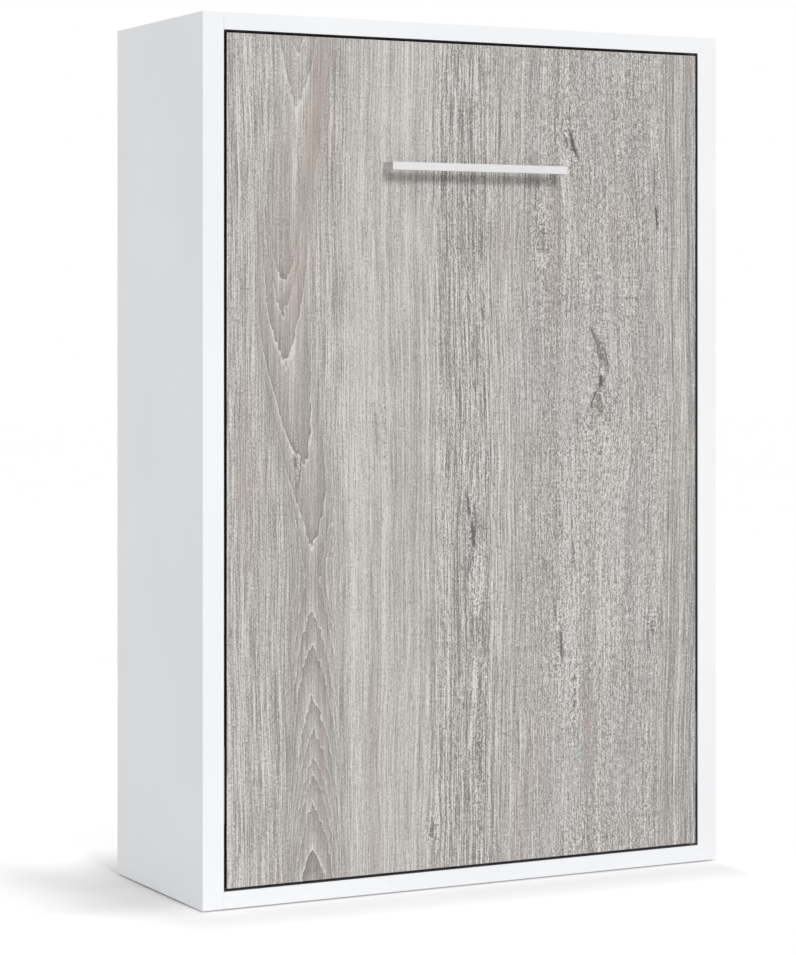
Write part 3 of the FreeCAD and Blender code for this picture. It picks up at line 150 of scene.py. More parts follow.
oakLook = {
    "base": (0.438, 0.417, 0.396, 1), "dark": (0.176, 0.163, 0.151, 1), "light": (0.745, 0.727, 0.705, 1),
    "brown": (0.400, 0.325, 0.290, 1), "blue": (0.390, 0.400, 0.430, 1),
    "knotDark": (0.115, 0.108, 0.100, 1), "knotPale": (0.68, 0.68, 0.68, 1),
    "stroke": (0.085, 0.080, 0.075, 1), "pale": (0.72, 0.72, 0.725, 1),
    # painted shade: the door's edges near black, as the gap round the door is dark; edgeReach: how far these
    # and the white rear reach
    "edge": (0.030, 0.029, 0.028, 1), "edgeReach": 0.0002,
    "rear": (0.80, 0.81, 0.82, 1), "rearShade": (0.76, 0.77, 0.78, 1),
    "darkGain": -1.6, "lightGain": 1.8,
    # grain patterns: stretch, detail, roughness, and for marks the levels where each starts and is full
    "wander": ((2.2, 2.2, 1.1), 2, 0.5), "shiver": ((24, 24, 5), 2, 0.5),
    "broad": ((5.5, 1, 0.5), 2, 0.5), "bands": ((30, 1, 0.6), 3, 0.6), "streaks": ((150, 1, 0.9), 3, 0.75),
    "fibres": ((330, 1, 7), 1, 0.6), "flecks": ((230, 1, 60), 2, 0.65), "dots": ((330, 1, 170), 1, 0.6),
    "ticks": ((260, 1, 38), 1, 0.6, 0.62, 0.72), "checks": ((130, 1, 13), 2, 0.6, 0.60, 0.68),
    "pores": ((420, 1, 26), 1, 0.5, 0.66, 0.76), "cracks": ((120, 1, 4), 2, 0.6, 0.67, 0.76),
    "tint": ((9, 1, 1.6), 2, 0.5, 0.52, 0.72), "cool": ((7, 3, 2.0), 2, 0.5, 0.50, 0.66),
    "lines": ((150, 1, 3.2), 2, 0.5), "jag": ((90, 1, 35), 2, 0.5),
    "knotGrain": ((190, 1, 60), 3, 0.7), "ragged": ((110, 1, 170), 2, 0.6),
    # zones across the door: a streaky band, flecks right of it, calm wood left: each from, full, full, to
    "zones": ((-0.115, -0.07, 0.03, 0.11), (0.08, 0.28, 0.50, 0.60), (-0.38, -0.32, -0.14, -0.09)),
    # amounts outside the zones, then in each of them
    "streakAmount": (2.0, 3.3, 1.05, 1.5), "fibreAmount": (2.2, 3.4, 1.9, 1.2),
    "fleckAmount": (1.0, 1.9, 2.6, 0.75), "dotAmount": (1.8, 2.6, 2.8, 1.2),
    "tickAmount": (0.50, 1.0, 0.95, 0.38), "offset": (0.015, -0.03, -0.035, 0.115),
    "knotAmount": 3.0, "slant": 0.42,               # added near the knots, lean of the streaky band's cracks
    "rightDark": (0.52, 0.60, 0.0, 0.15),           # darker towards the right edge: from, to, amount at each
    # the arched figure, its centre, the lean of its top and its strength each between two heights
    "figureTurn": 0.80, "figureWidth": 0.105, "figureCentre": (0.9, 1.45, -0.446, -0.525),
    "figureTop": (1.62, 1.95, 0.0, 0.035), "figureFade": (1.48, 1.62, 1.0, 0.55),
    "archesAbove": (0.085, 0.28, 0.53, 0.65, 0.72, 1.16, 1.29),
    "archesBelow": (0.093, 0.175, 0.302, 0.379, 0.444, 0.488, 0.562, 0.664),
    "archReach": 1.4, "archSides": (0.90, -1.12), "archSlope": 1.9, "archCurve": 600.0, "archTip": 0.002,
    "archJag": 0.075,
    # the brown band: height and x of its top, lean, half width, heights where it fades
    "bandTop": 2.09, "bandPlace": -0.412, "bandLean": 0.135, "bandWidth": 0.045, "bandFade": (1.30, 1.50),
    "tail": 0.0045,          # half width of a knot's dark tail
    "knots": (               # x, z, half width, half height in mm, strength, tail in half heights
        (298, 1893, 12, 34, 0.5, 3), (380, 1350, 13, 50, 0.45, 2), (388, 1280, 14, 34, 0.5, 1.8),
        (352, 1210, 26, 50, 0.25, 1), (215, 1640, 20, 50, 0.4, 1.4), (552, 1750, 5, 65, 0.35, 1.6),
        (560, 1150, 5, 30, 0.3, 2), (7, 900, 10, 55, 0.5, 2.2), (15, 780, 8, 35, 0.4, 2),
        (263, 610, 12, 40, 0.4, 2), (308, 470, 6, 60, 0.5, 2.4), (-486, 1090, 6, 26, 0.8, 2.2),
        (537, 632, 8, 16, 0.6, 1.6), (-245, 1180, 4, 60, 0.35, 1.8), (-105, 150, 10, 22, 0.5, 1.6),
        (30, 330, 10, 120, 0.3, 1.4),
    ),
    "strokes": (             # cracks: x, z, half height, lean, bend, half width in mm, strength
        (290, 1960, 41, -1, 0, 2.4, 0.7), (300, 1888, 41, -13, 4, 6.2, 1), (281, 1892, 20, -4, -3, 3.4, 0.8),
        (364, 1391, 27, -11, 0, 4.5, 1), (385, 1344, 48, -21, 7, 11.2, 0.6), (401, 1334, 33, -7, 3, 3, 0.9),
        (384, 1275, 21, -2, 1, 7.3, 1), (362, 1230, 27, 11, 3, 3.8, 1), (382, 1216, 36, -6, 4, 11.2, 0.45),
        (344, 1208, 29, -5, 0, 3, 0.5), (548, 1794, 46, 2, 0, 2.8, 0.7), (555, 1701, 39, -3, 0, 4.5, 1),
        (563, 1410, 24, 0, 0, 2.8, 0.8), (555, 1132, 29, -2, 0, 2.6, 0.7), (-8, 966, 45, -7, 0, 4.5, 0.8),
        (5, 895, 45, -5, 0, 5, 0.9), (-7, 813, 43, 4, 0, 3.6, 0.7), (246, 690, 39, -5, 0, 3.6, 0.7),
        (265, 596, 49, -4, 0, 5, 0.8), (303, 822, 49, -5, 3, 3.6, 0.8), (532, 593, 39, -3, 0, 3.4, 0.7),
        (-270, 1154, 75, -3, 0, 4.5, 0.5), (-308, 1634, 57, -1, 0, 3.4, 0.45),
        (221, 784, 44, -4, 0, 3.4, 0.6), (-480, 1058, 43, 5, -3, 3.4, 0.7), (188, 1736, 31, 4, 0, 3.4, 0.5),
    ),
    "pales": (               # worn patches beside them: x, z, half width, half height in mm, strength
        (349, 1361, 11, 8, 1), (388, 1301, 7, 12, 1.2), (408, 1270, 12, 16, 0.9), (342, 1232, 20, 49, 0.8),
        (208, 1593, 21, 15, 0.8), (279, 1846, 12, 21, 0.4), (382, 1161, 24, 26, 0.35),
    ),
}


def oakGrain(name, place):
    return pattern(place, *oakLook[name])


def oakMarks(name, place):
    *grain, start, full = oakLook[name]
    return remap(pattern(place, *grain), start, full)


def archCount(distance, arches):
    # a curve that passes one whole number at each arch
    reach = oakLook["archReach"]
    curved = wire(distance.tree, "ShaderNodeFloatCurve", {"Value": distance / reach})
    mapping = curved.socket.node.mapping
    points = mapping.curves[0].points
    for count, place in enumerate(arches, start=1):
        points.new(place / reach, count / (len(arches) + 1))
    points[0].location, points[-1].location = (0, 0), (1, 1)
    for point in points:
        point.handle_type = "VECTOR"
    mapping.update()
    return curved * (len(arches) + 1)


def archedFigure(tone, grainX, z, grain, flecks):
    # pale arches with a dark groove above each, wide at the top and close near the floor
    look = oakLook
    height = z - look["figureTurn"]
    centre = remap(z, *look["figureCentre"]) + remap(z, *look["figureTop"])
    offset = grainX - centre
    across = most(offset * look["archSides"][0], offset * look["archSides"][1])
    slope = across * look["archSlope"] + calc("POWER", across, 3.0) * look["archCurve"]
    jag = (oakGrain("jag", grain) - 0.5) * look["archJag"]
    distance = calc("SQRT", height * height + look["archTip"]) - slope + jag
    isAbove = calc("GREATER_THAN", height, 0.0)
    above, below = [archCount(distance, look[key]) for key in ("archesAbove", "archesBelow")]
    part = calc("FRACT", above * isAbove + below * (1.0 - isAbove) + least(distance, 0.0) * 9.0)
    near = remap(across, look["figureWidth"], look["figureWidth"] * 0.45) * remap(z, *look["figureFade"])
    tone = tone * (1.0 - near * 0.45) - near * 0.18 - (0.45 - part) * near * 0.42
    tone = tone + remap(part, 0.88, 0.97) * near * remap(flecks, 0.33, 0.46) * 0.62
    tone = tone - remap(part, 0.09, 0.02) * near * remap(flecks, 0.42, 0.55) * 0.60
    return tone, across


def greyOak():
    look = oakLook
    material, place = newMaterial("greyOak")
    x, y, z = split(place)
    grainX = x + (oakGrain("wander", place) - 0.5) * 0.05 + (oakGrain("shiver", place) - 0.5) * 0.005

    # knots push the grain aside, with a dark tail above and below
    knotMask, tailMask, nearKnot = 0.0, 0.0, 0.0
    for *sizes, strength, reach in look["knots"]:
        knotX, knotZ, halfWidth, halfHeight = [size * mm for size in sizes]
        fromX, fromZ = (grainX - knotX) / halfWidth, (z - knotZ) / halfHeight
        squares = fromX * fromX + fromZ * fromZ
        push = fromX * (1.0 / timesPlus(squares, 0.35, 1.0)) * (halfWidth * min(1.0, strength + 0.2))
        knotMask = most(knotMask, remap(squares, 1.5, 0.3) * strength)
        nearKnot = most(nearKnot, remap(squares, 9.0, 0.5) * strength)
        tail = remap(abs(fromX) * halfWidth, look["tail"], 0.0) * remap(abs(fromZ), reach, 0.5)
        tailMask = most(tailMask, tail * strength)
        grainX = grainX - push

    grain = joined(grainX, 0.0, z)
    layers = ("broad", "bands", "streaks", "fibres", "flecks", "dots")
    broad, bands, streaks, fibres, flecks, dots = [oakGrain(name, grain) for name in layers]
    zones = [remap(grainX, start, full) * remap(grainX, end, ebb) for start, full, ebb, end in look["zones"]]

    def byZone(name):
        start, *amounts = look[name]
        total = start
        for zone, amount in zip(zones, amounts):
            total = timesPlus(zone, amount - start, total)
        return total

    knotted = nearKnot * look["knotAmount"]
    tone = (broad - 0.5) * 0.5 + (bands - 0.5) * 0.70
    tone = tone + (streaks - 0.5) * byZone("streakAmount") + (fibres - 0.5) * byZone("fibreAmount")
    tone = tone + (flecks - 0.5) * (byZone("fleckAmount") + knotted)
    tone = tone + (dots - 0.5) * (byZone("dotAmount") + knotted)
    tone = tone - oakMarks("ticks", grain) * byZone("tickAmount") + byZone("offset")
    tone = tone - remap(grainX, *look["rightDark"])
    # slanting cracks across the streaky band
    slanted = joined(x + z * look["slant"], 0.0, x * look["slant"] - z)
    tone = tone - oakMarks("checks", slanted) * zones[0] * 0.45
    tone, across = archedFigure(tone, grainX, z, grain, flecks)
    # thin pale lines and dark pores
    ridge = abs(oakGrain("lines", grain) - 0.5)
    tone = tone + remap(ridge, 0.020, 0.0) * remap(bands, 0.40, 0.60) * 0.22
    tone = tone - oakMarks("pores", grain) * 0.35
    tone = tone - oakMarks("cracks", grain) * remap(broad, 0.42, 0.60) * 0.45

    # knots, then cracks and worn patches, their sides ragged
    knotGrain = oakGrain("knotGrain", place)
    knotDark = most(knotMask * remap(knotGrain, 0.36, 0.50), tailMask * remap(knotGrain, 0.40, 0.52) * 0.8)
    strokeX = timesPlus(oakGrain("ragged", place) - 0.5, 0.008, x)
    strokeMask, paleMask = 0.0, 0.0
    for *sizes, strength in look["strokes"]:
        middle, strokeZ, half, lean, bend, width = [size * mm for size in sizes]
        along = (z - strokeZ) / half
        side = abs(strokeX - middle - along * timesPlus(along, bend, lean))
        mark = remap(side, width * 1.25, width * 0.35) * remap(abs(along), 1.1, 0.5, 0.0, strength)
        strokeMask = most(strokeMask, mark)
    for *sizes, strength in look["pales"]:
        paleX, paleZ, halfWidth, halfHeight = [size * mm for size in sizes]
        fromX, fromZ = (strokeX - paleX) / halfWidth, (z - paleZ) / halfHeight
        paleMask = most(paleMask, remap(timesPlus(fromX, fromX, fromZ * fromZ), 1.4, 0.3, 0.0, strength))

    # where the door is brown or bluish, and its edges in the gap painted near black as painted shade
    brown = oakMarks("tint", grain) * 0.45 + remap(across, 0.10, 0.0) * 0.45
    fromBand = abs(grainX - timesPlus(z - look["bandTop"], look["bandLean"], look["bandPlace"]))
    low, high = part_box("front_panel")
    thin = look["edgeReach"]
    outer = most(remap(abs(x), high[0] - thin, high[0]), remap(z, low[2] + thin, low[2]))

    # each colour over those before it
    colour = look["base"]
    for factor, shade in (
            (calc("TANH", least(tone, 0.0) * look["darkGain"]), "dark"),
            (calc("TANH", most(tone, 0.0) * look["lightGain"]), "light"),
            (brown * remap(bands, 0.62, 0.42) * 0.7, "brown"),
            (oakMarks("cool", grain) * zones[1] * 0.22, "blue"),
            (remap(fromBand, look["bandWidth"], 0.0) * remap(z, *look["bandFade"]) * 0.48, "brown"),
            (knotDark * 0.80, "knotDark"),
            (nearKnot * remap(knotGrain, 0.42, 0.32) * 0.6, "knotPale"),
            (paleMask * remap(knotGrain, 0.40, 0.56, 1.0, 0.15) * 0.85, "pale"),
            (strokeMask * remap(knotGrain, 0.36, 0.52, 0.45, 1.0) * 0.95, "stroke"),
            # painted shade on the door's edges in the gap
            (most(outer, remap(z, high[2] - thin, high[2])), "edge")):
        colour = mix(factor, colour, look[shade])
    # plain white board behind
    rear = remap(y, high[1] - thin, high[1])
    colour = mix(rear, colour, mix(noise(place, 4, 3), look["rear"], look["rearShade"]))
    relief = (tone - knotDark * 0.5) * (1.0 - rear)
    finishSurface(colour, remap(tone, -0.3, 0.3, 0.62, 0.5), relief, 0.0004)
    return material


# White board: satin melamine with a fine stipple, and painted shade where it faces the gap round the door

# the colour of the painted shade in the door's gap, where it starts behind the door's front, and how far from
# each wall it reaches
melamineLook = {"colour": (0.895, 0.905, 0.920, 1), "shade": (0.860, 0.872, 0.890, 1), "stipple": 1400,
                "gapShade": (0.22, 0.22, 0.225, 1), "lip": 0.0012, "reach": 0.0002}


def whiteMelamine():
    look = melamineLook
    material, place = newMaterial("whiteMelamine")
    colour = mix(remap(noise(place, 1.7, 3), 0.3, 0.7), look["colour"], look["shade"])
    # painted shade: the frame's faces towards the gap round the door darkened, as shade falls in the gap
    x, y, z = split(place)
    doorLow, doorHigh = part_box("front_panel")
    walls = (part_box("right_side_panel")[0][0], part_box("top_panel")[0][2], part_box("bottom_panel")[1][2])
    gapShade = 0.0
    for value, wall in zip((abs(x), z, z), walls):
        gapShade = most(gapShade, remap(abs(value - wall), look["reach"], 0.0))
    lip = look["lip"]
    depth = remap(y, doorLow[1] + lip, doorLow[1] + 2 * lip) * remap(y, doorHigh[1] + lip, doorHigh[1])
    colour = mix(gapShade * depth, colour, look["gapShade"])
    shine = remap(noise(place, 6, 3, 0.6), 0.3, 0.7, 0.36, 0.46)
    finishSurface(colour, shine, noise(place, look["stipple"], 2, 0.6), 0.00004)
    return material


# Brushed metal of the handle, drawn along its length, its cut ends darkened as painted shade

# the cut ends' painted shade is a factor on the colour over a short reach
handleLook = {"colour": (0.775, 0.77, 0.775, 1), "shade": (0.675, 0.67, 0.675, 1),
              "end": 0.92, "endShadeReach": 0.0003, "brushed": (18, 2600, 2600)}


def brushedAluminium():
    look = handleLook
    material, place = newMaterial("brushedAluminium")
    lines = pattern(place, look["brushed"], 3, 0.7)
    blend = lines * 0.8 + noise(place, 14) * 0.2
    colour = mix(remap(blend, 0.35, 0.65), look["colour"], look["shade"])
    x, y, z = split(place)
    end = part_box("handle_bar")[1][0]
    # painted shade: the colour darkened on the cut ends
    colour = mix(remap(abs(x), end - look["endShadeReach"], end), colour, grey(look["end"]), "MULTIPLY")
    finishSurface(colour, remap(lines, 0.3, 0.7, 0.24, 0.38), lines, 0.00002, 1.0)
    return material


# White inside, brown pressed fibre with a screen mark on the wall side

hardboardLook = {"front": (0.86, 0.865, 0.87, 1), "frontShade": (0.84, 0.84, 0.84, 1),
                 "rear": (0.26, 0.155, 0.085, 1), "rearDark": (0.17, 0.10, 0.055, 1),
                 "frontEdge": 0.2815, "rearEdge": 0.2838, "mesh": 0.0022, "shine": (0.38, 0.85)}


def hardboard():
    look = hardboardLook
    material, place = newMaterial("hardboard")
    x, y, z = split(place)
    fibre = noise(place, 900, 3, 0.7)
    isRear = remap(y, look["frontEdge"], look["rearEdge"])
    front = mix(noise(place, 3), look["front"], look["frontShade"])
    colour = mix(isRear, front, mix(remap(fibre, 0.35, 0.65), look["rear"], look["rearDark"]))
    step = 2 * math.pi / look["mesh"]
    weave = calc("SINE", x * step) * calc("SINE", z * step)
    shiny, dull = look["shine"]
    finishSurface(colour, timesPlus(isRear, dull - shiny, shiny), weave * isRear + fibre * 0.6, 0.00015)
    return material


# Powder coat with a fine orange peel and a little wear at random: colour, shade, roughness

powderLook = {
    "greySteel": ((0.17, 0.175, 0.185, 1), (0.13, 0.134, 0.142, 1), 0.45),
    "silverSteel": ((0.48, 0.49, 0.50, 1), (0.42, 0.43, 0.44, 1), 0.38),
}


def powderCoat(name):
    colour, shade, roughness = powderLook[name]
    material, place = newMaterial(name)
    cloud = noise(place, 25, 4, 0.6)
    speck = remap(noise(place, 260, 2, 0.7), 0.70, 0.78)
    tone = mix(speck * 0.35, mix(remap(cloud, 0.3, 0.7), colour, shade), grey(0.75))
    shine = remap(cloud, 0.3, 0.7, roughness - 0.06, roughness + 0.08)
    finishSurface(tone, shine, noise(place, 700), 0.00012)
    return material


# Metals: base colour, second tone, stretch of the marks, roughness from and to, size of the marks

metalLook = {
    "zincPlate": ((0.70, 0.71, 0.72, 1), (0.60, 0.62, 0.68, 1), (1, 1, 1), 0.30, 0.50, 60),
    "chromeRod": ((0.80, 0.81, 0.82, 1), (0.70, 0.71, 0.73, 1), (40, 40, 900), 0.07, 0.16, 1),
    "dieCast": ((0.55, 0.55, 0.56, 1), (0.42, 0.42, 0.44, 1), (1, 1, 1), 0.40, 0.60, 320),
    "blackSteel": ((0.05, 0.05, 0.055, 1), (0.09, 0.09, 0.095, 1), (1, 1, 1), 0.30, 0.45, 220),
}


def metal(name):
    colour, shade, stretch, low, high, size = metalLook[name]
    material, place = newMaterial(name)
    marks = pattern(place, stretch, 3, 0.6, size)
    spots = wire(place.tree, "ShaderNodeTexVoronoi", {"Vector": place, "Scale": 420.0}, "Color")
    level, *others = split(mix(0.3, joined(marks, marks, marks), spots))
    tone = mix(remap(level, 0.25, 0.75), colour, shade)
    finishSurface(tone, remap(marks, 0.3, 0.7, low, high), marks, 0.00003, 1.0)
    return material


# Gloss black lacquer of the spring tubes

lacquerLook = {"colour": 0.010, "shade": 0.022, "dust": 0.5}


def glossBlack():
    look = lacquerLook
    material, place = newMaterial("glossBlack")
    dust = remap(noise(place, 900, 2, 0.7), 0.66, 0.76)
    smear = pattern(place, (20, 20, 3), 3, 0.6)
    tone = mix(remap(smear, 0.3, 0.7), grey(look["colour"]), grey(look["shade"]))
    tone = mix(dust * 0.10, tone, grey(look["dust"]))
    finishSurface(tone, remap(smear, 0.3, 0.7, 0.16, 0.30), smear, 0.00002)
    return material


# Pale wood, its grain along one axis: light, middle and dark tone

paleWoodLook = {
    "beech": ((0.62, 0.42, 0.26, 1), (0.50, 0.31, 0.18, 1), (0.40, 0.235, 0.13, 1)),
    "birch": ((0.72, 0.56, 0.38, 1), (0.60, 0.44, 0.28, 1), (0.47, 0.32, 0.19, 1)),
    "grain": 0.06, "rays": 0.16,     # how far each is drawn out along the axis
}


def paleWood(name, kind, along):
    light, middle, dark = paleWoodLook[kind]
    material, place = newMaterial(name)

    def drawnOut(key, *settings):
        stretch = [1.0, 1.0, 1.0]
        stretch[along] = paleWoodLook[key]
        return pattern(place, stretch, *settings)

    rings, fine = drawnOut("grain", 4, 0.6, 38, 0.4), drawnOut("grain", 3, 0.65, 420)
    tone = mix(remap(rings, 0.35, 0.65), light, middle)
    tone = mix(remap(fine, 0.45, 0.7) * 0.35, tone, dark)
    tone = mix(remap(drawnOut("rays", 1, 0.5, 600), 0.63, 0.72) * 0.5, tone, dark)
    if kind == "birch":
        tone = plyEdges(place, tone, dark)
    finishSurface(tone, remap(rings, 0.3, 0.7, 0.42, 0.55), fine, 0.00012)
    return material


slatLook = {"steps": 44, "corner": 3.0, "cornerSteps": 4, "layers": 5, "bow": 6.0, "thickness": 8.0}


def plyEdges(place, tone, dark):
    # glued layers, only seen on the long edges, follow the bow of the slat
    bow, thickness = slatLook["bow"] * mm, slatLook["thickness"] * mm
    low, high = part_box("slats")
    x, y, z = split(place)
    share = x / ((high[0] - low[0]) / 2)
    depth = (y + share * share * bow - (low[1] + bow)) / thickness
    layer = calc("FRACT", depth * slatLook["layers"])
    glue = remap(layer, 0.14, 0.0) + remap(layer, 0.86, 1.0)
    inner = remap(depth, 0.06, 0.10) * remap(depth, 0.94, 0.90)
    return mix(glue * inner * 0.7, tone, dark)


# Moulded plastic and rubber: colour, roughness, grain size, grain depth

plasticLook = {
    "blackPlastic": ((0.022, 0.022, 0.024, 1), 0.42, 1100, 0.00008),
    "whitePlastic": ((0.80, 0.81, 0.82, 1), 0.35, 700, 0.00003),
    "bushPlastic": ((0.72, 0.69, 0.60, 1), 0.40, 500, 0.00004),
    "blackRubber": ((0.018, 0.018, 0.018, 1), 0.78, 800, 0.00012),
}


def plastic(name):
    colour, roughness, size, depth = plasticLook[name]
    material, place = newMaterial(name)
    cloud = noise(place, 40, 3, 0.6)
    lifted = [value * 1.03 + 0.007 for value in colour[:3]] + [1]
    tone = mix(remap(cloud, 0.35, 0.7), colour, lifted)
    shine = remap(cloud, 0.3, 0.7, roughness - 0.05, roughness + 0.07)
    finishSurface(tone, shine, noise(place, size, 2, 0.6), depth)
    return material


# Knitted ticking of the mattress, loops both ways and flecked yarn: colour, shade, loop width and height

tickingLook = {
    "tickingPanel": ((0.74, 0.73, 0.70, 1), (0.62, 0.61, 0.58, 1), 0.0021, 0.0026),
    "tickingBorder": ((0.30, 0.31, 0.33, 1), (0.20, 0.21, 0.23, 1), 0.0016, 0.0030),
    "tickingPiping": ((0.52, 0.52, 0.51, 1), (0.38, 0.38, 0.37, 1), 0.0012, 0.0012),
}


def ticking(name):
    colour, shade, wide, tall = tickingLook[name]
    material, place = newMaterial(name)
    x, y, z = split(place)
    across = calc("SINE", (x + y) * (2 * math.pi / wide))
    turned = z * (2 * math.pi / tall) + across * 0.8
    loops = timesPlus(calc("SINE", turned), 0.5, 0.5) + across * 0.35
    yarn = pattern(place, (1, 1, 0.35), 2, 0.7, 420)
    tone = mix(remap(loops * 0.45 + yarn * 0.5, 0.25, 0.85), shade, colour)
    tone = mix(remap(noise(place, 9, 3, 0.6), 0.4, 0.7) * 0.25, tone, shade)
    finishSurface(tone, remap(yarn, 0.3, 0.7, 0.82, 0.96), loops, 0.00035)
    return material


# Twill webbing: ribs along the strap and slanting yarns

webbingLook = {"colour": (0.045, 0.047, 0.055, 1), "light": (0.115, 0.118, 0.130, 1),
               "rib": 0.0042, "yarn": 0.0017}


def webbing():
    look = webbingLook
    material, place = newMaterial("webbing")
    x, y, z = split(place)
    yarnStep = 2 * math.pi / look["yarn"]
    rib = calc("SINE", z * (2 * math.pi / look["rib"]))
    yarn = calc("SINE", (x + y) * yarnStep + calc("SIGN", rib) * (z * yarnStep))
    relief = abs(rib) * 0.8 + yarn * 0.4
    fuzz = noise(place, 1500, 2, 0.7)
    tone = mix(remap(relief * 0.5 + fuzz * 0.4, 0.1, 0.9), look["colour"], look["light"])
    finishSurface(tone, remap(fuzz, 0.3, 0.7, 0.6, 0.8), relief, 0.0003)
    return material


def paint(material, *names):
    for name in names:
        mesh = nodes[name].data
        mesh.materials.clear()
        mesh.materials.append(material)


def bothSides(*names):
    return [side + name for name in names for side in ("left_", "right_")]


zinc, dieCast, blackSteel = metal("zincPlate"), metal("dieCast"), metal("blackSteel")
blackPlastic = plastic("blackPlastic")
tickingPanel, tickingBorder, tickingPiping = [ticking(name) for name in tickingLook]
birch, strapCloth = paleWood("birchAcross", "birch", 0), webbing()

paint(whiteMelamine(), *nodes)
paint(greyOak(), "front_panel")
paint(brushedAluminium(), "handle_bar", "handle_posts")
paint(hardboard(), "lower_back_panel", "upper_back_panel")
paint(plastic("whitePlastic"), "back_panel_joiner")
paint(powderCoat("greySteel"), *bothSides("pivot_plate", "bed_plate", "spring_anchor", "stop_bracket"))
paint(powderCoat("silverSteel"), *bothSides("leg_arm"), "leg_cross_tube")
paint(zinc, *bothSides("pivot_pin"), "mechanism_screws", "handle_screws", "panel_brackets", "bed_plate_bolts",
      "leg_pivot_bolts", "cam_bolts")
paint(dieCast, "cam_locks")
paint(glossBlack(), *bothSides("spring_cylinder"))
paint(metal("chromeRod"), *bothSides("spring_rod"))
paint(paleWood("beechAcross", "beech", 0), "slats", "door_battens", "corner_dowels")
paint(paleWood("beechUp", "beech", 2), *bothSides("slat_ledger"))
paint(blackPlastic, "slat_holders", "floor_glides", "strap_buckles", "leg_feet")
paint(plastic("bushPlastic"), *bothSides("pivot_bush"))
paint(plastic("blackRubber"), "stop_buffers")
paint(strapCloth, "bedding_straps")
paint(tickingPanel, "mattress")
print("materials done")


# Mesh helpers

def linkPiece(name, mesh, material=None):
    piece = bpy.data.objects.new(name, mesh)
    scene.collection.objects.link(piece)
    if material is not None:
        mesh.materials.clear()
        mesh.materials.append(material)
    return piece


def settle(piece, swaps=(), body="bed"):
    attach(piece, body)
    if swaps:
        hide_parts(*swaps)
    return piece


def meshFrom(name, verts, faces, smoothed=True):
    mesh = bpy.data.meshes.new(name)
    mesh.from_pydata([tuple(vert) for vert in verts], [], faces)
    build = bmesh.new()
    build.from_mesh(mesh)
    bmesh.ops.recalc_face_normals(build, faces=build.faces[:])
    build.to_mesh(mesh)
    build.free()
    for face in mesh.polygons:
        face.use_smooth = smoothed
    return mesh


def looseParts(name):
    # lowest and highest corner of every loose part of a CAD node
    node = nodes[name]
    build = bmesh.new()
    build.from_mesh(node.data)
    build.transform(node.matrix_world)
    bmesh.ops.remove_doubles(build, verts=build.verts[:], dist=1e-5)
    seen, parts = set(), []
    for first in build.verts:
        if first in seen:
            continue
        seen.add(first)
        queue, places = [first], []
        while queue:
            vert = queue.pop()
            places.append(vert.co.copy())
            for edge in vert.link_edges:
                other = edge.other_vert(vert)
                if other not in seen:
                    seen.add(other)
                    queue.append(other)
        parts.append([Vector(list(map(pick, zip(*places)))) for pick in (min, max)])
    build.free()
    return parts


def boxOf(name):
    return [Vector(corner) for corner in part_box(name)]


def middleOf(low, high, **fixed):
    # the middle of a box, moved to the given x, y or z
    middle = (low + high) / 2
    for axis, value in fixed.items():
        setattr(middle, axis, value)
    return middle


def sidesOf(low, high):
    # which side of the middle a part is on, then its inner and its outer face
    return (1, low.x, high.x) if high.x > 0 else (-1, high.x, low.x)


def ringFaces(rings, count, closed=False):
    # quads between rings of corners that follow each other
    faces = []
    for ring in range(rings if closed else rings - 1):
        ahead = (ring + 1) % rings * count
        for step in range(count):
            beside = (step + 1) % count
            faces.append((ring * count + step, ring * count + beside, ahead + beside, ahead + step))
    return faces


def lathe(profile, count):
    # closed solid round Z from (radius, height) pairs, the first and last on the axis
    inner = profile[1:-1]
    turns = [2 * math.pi * step / count for step in range(count)]
    verts = [(radius * math.cos(turn), radius * math.sin(turn), height)
             for (radius, height), turn in product(inner, turns)]
    verts += [(0, 0, profile[0][1]), (0, 0, profile[-1][1])]
    faces = ringFaces(len(inner), count)
    lastRing = (len(inner) - 1) * count
    for step in range(count):
        beside = (step + 1) % count
        faces.append((len(verts) - 2, beside, step))
        faces.append((len(verts) - 1, lastRing + step, lastRing + beside))
    return verts, faces


def prism(outline, low, high):
    # closed prism along Z over a plane outline
    count = len(outline)
    verts = [(x, y, level) for level in (low, high) for x, y in outline]
    return verts, [tuple(range(count))[::-1], tuple(range(count, 2 * count))] + ringFaces(2, count)


def combined(shapes):
    verts, faces = [], []
    for moreVerts, moreFaces in shapes:
        faces += [tuple(index + len(verts) for index in face) for face in moreFaces]
        verts += moreVerts
    return verts, faces


def evaluated(piece):
    bpy.context.view_layer.update()
    return bpy.data.meshes.new_from_object(piece.evaluated_get(bpy.context.evaluated_depsgraph_get()))


def applied(piece):
    # the evaluated shape as a plain mesh, the modifiers gone
    mesh = evaluated(piece)
    piece.modifiers.clear()
    old, piece.data = piece.data, mesh
    bpy.data.meshes.remove(old)
    return piece


def bevelled(piece, width, segments=2):
    bevel = piece.modifiers.new("bevel", "BEVEL")
    bevel.width, bevel.segments = width, segments
    bevel.limit_method, bevel.angle_limit = "ANGLE", math.radians(40)
    return applied(piece)


# Geometry trees: named inputs, Realize Instances and Set Material at the end

def newTree(name, **inputs):
    tree = bpy.data.node_groups.new(name, "GeometryNodeTree")
    for label, kind in inputs.items():
        tree.interface.new_socket(label, in_out="INPUT", socket_type="NodeSocket" + kind)
    tree.interface.new_socket("Geometry", in_out="OUTPUT", socket_type="NodeSocketGeometry")
    return tree, wires(tree, "NodeGroupInput")


def endTree(tree, copies, finish):
    real = wire(tree, "GeometryNodeRealizeInstances", {0: copies})
    done = wire(tree, "GeometryNodeSetMaterial", {"Geometry": real, "Material": finish})
    addNode(tree, "NodeGroupOutput", {0: done})
    return tree


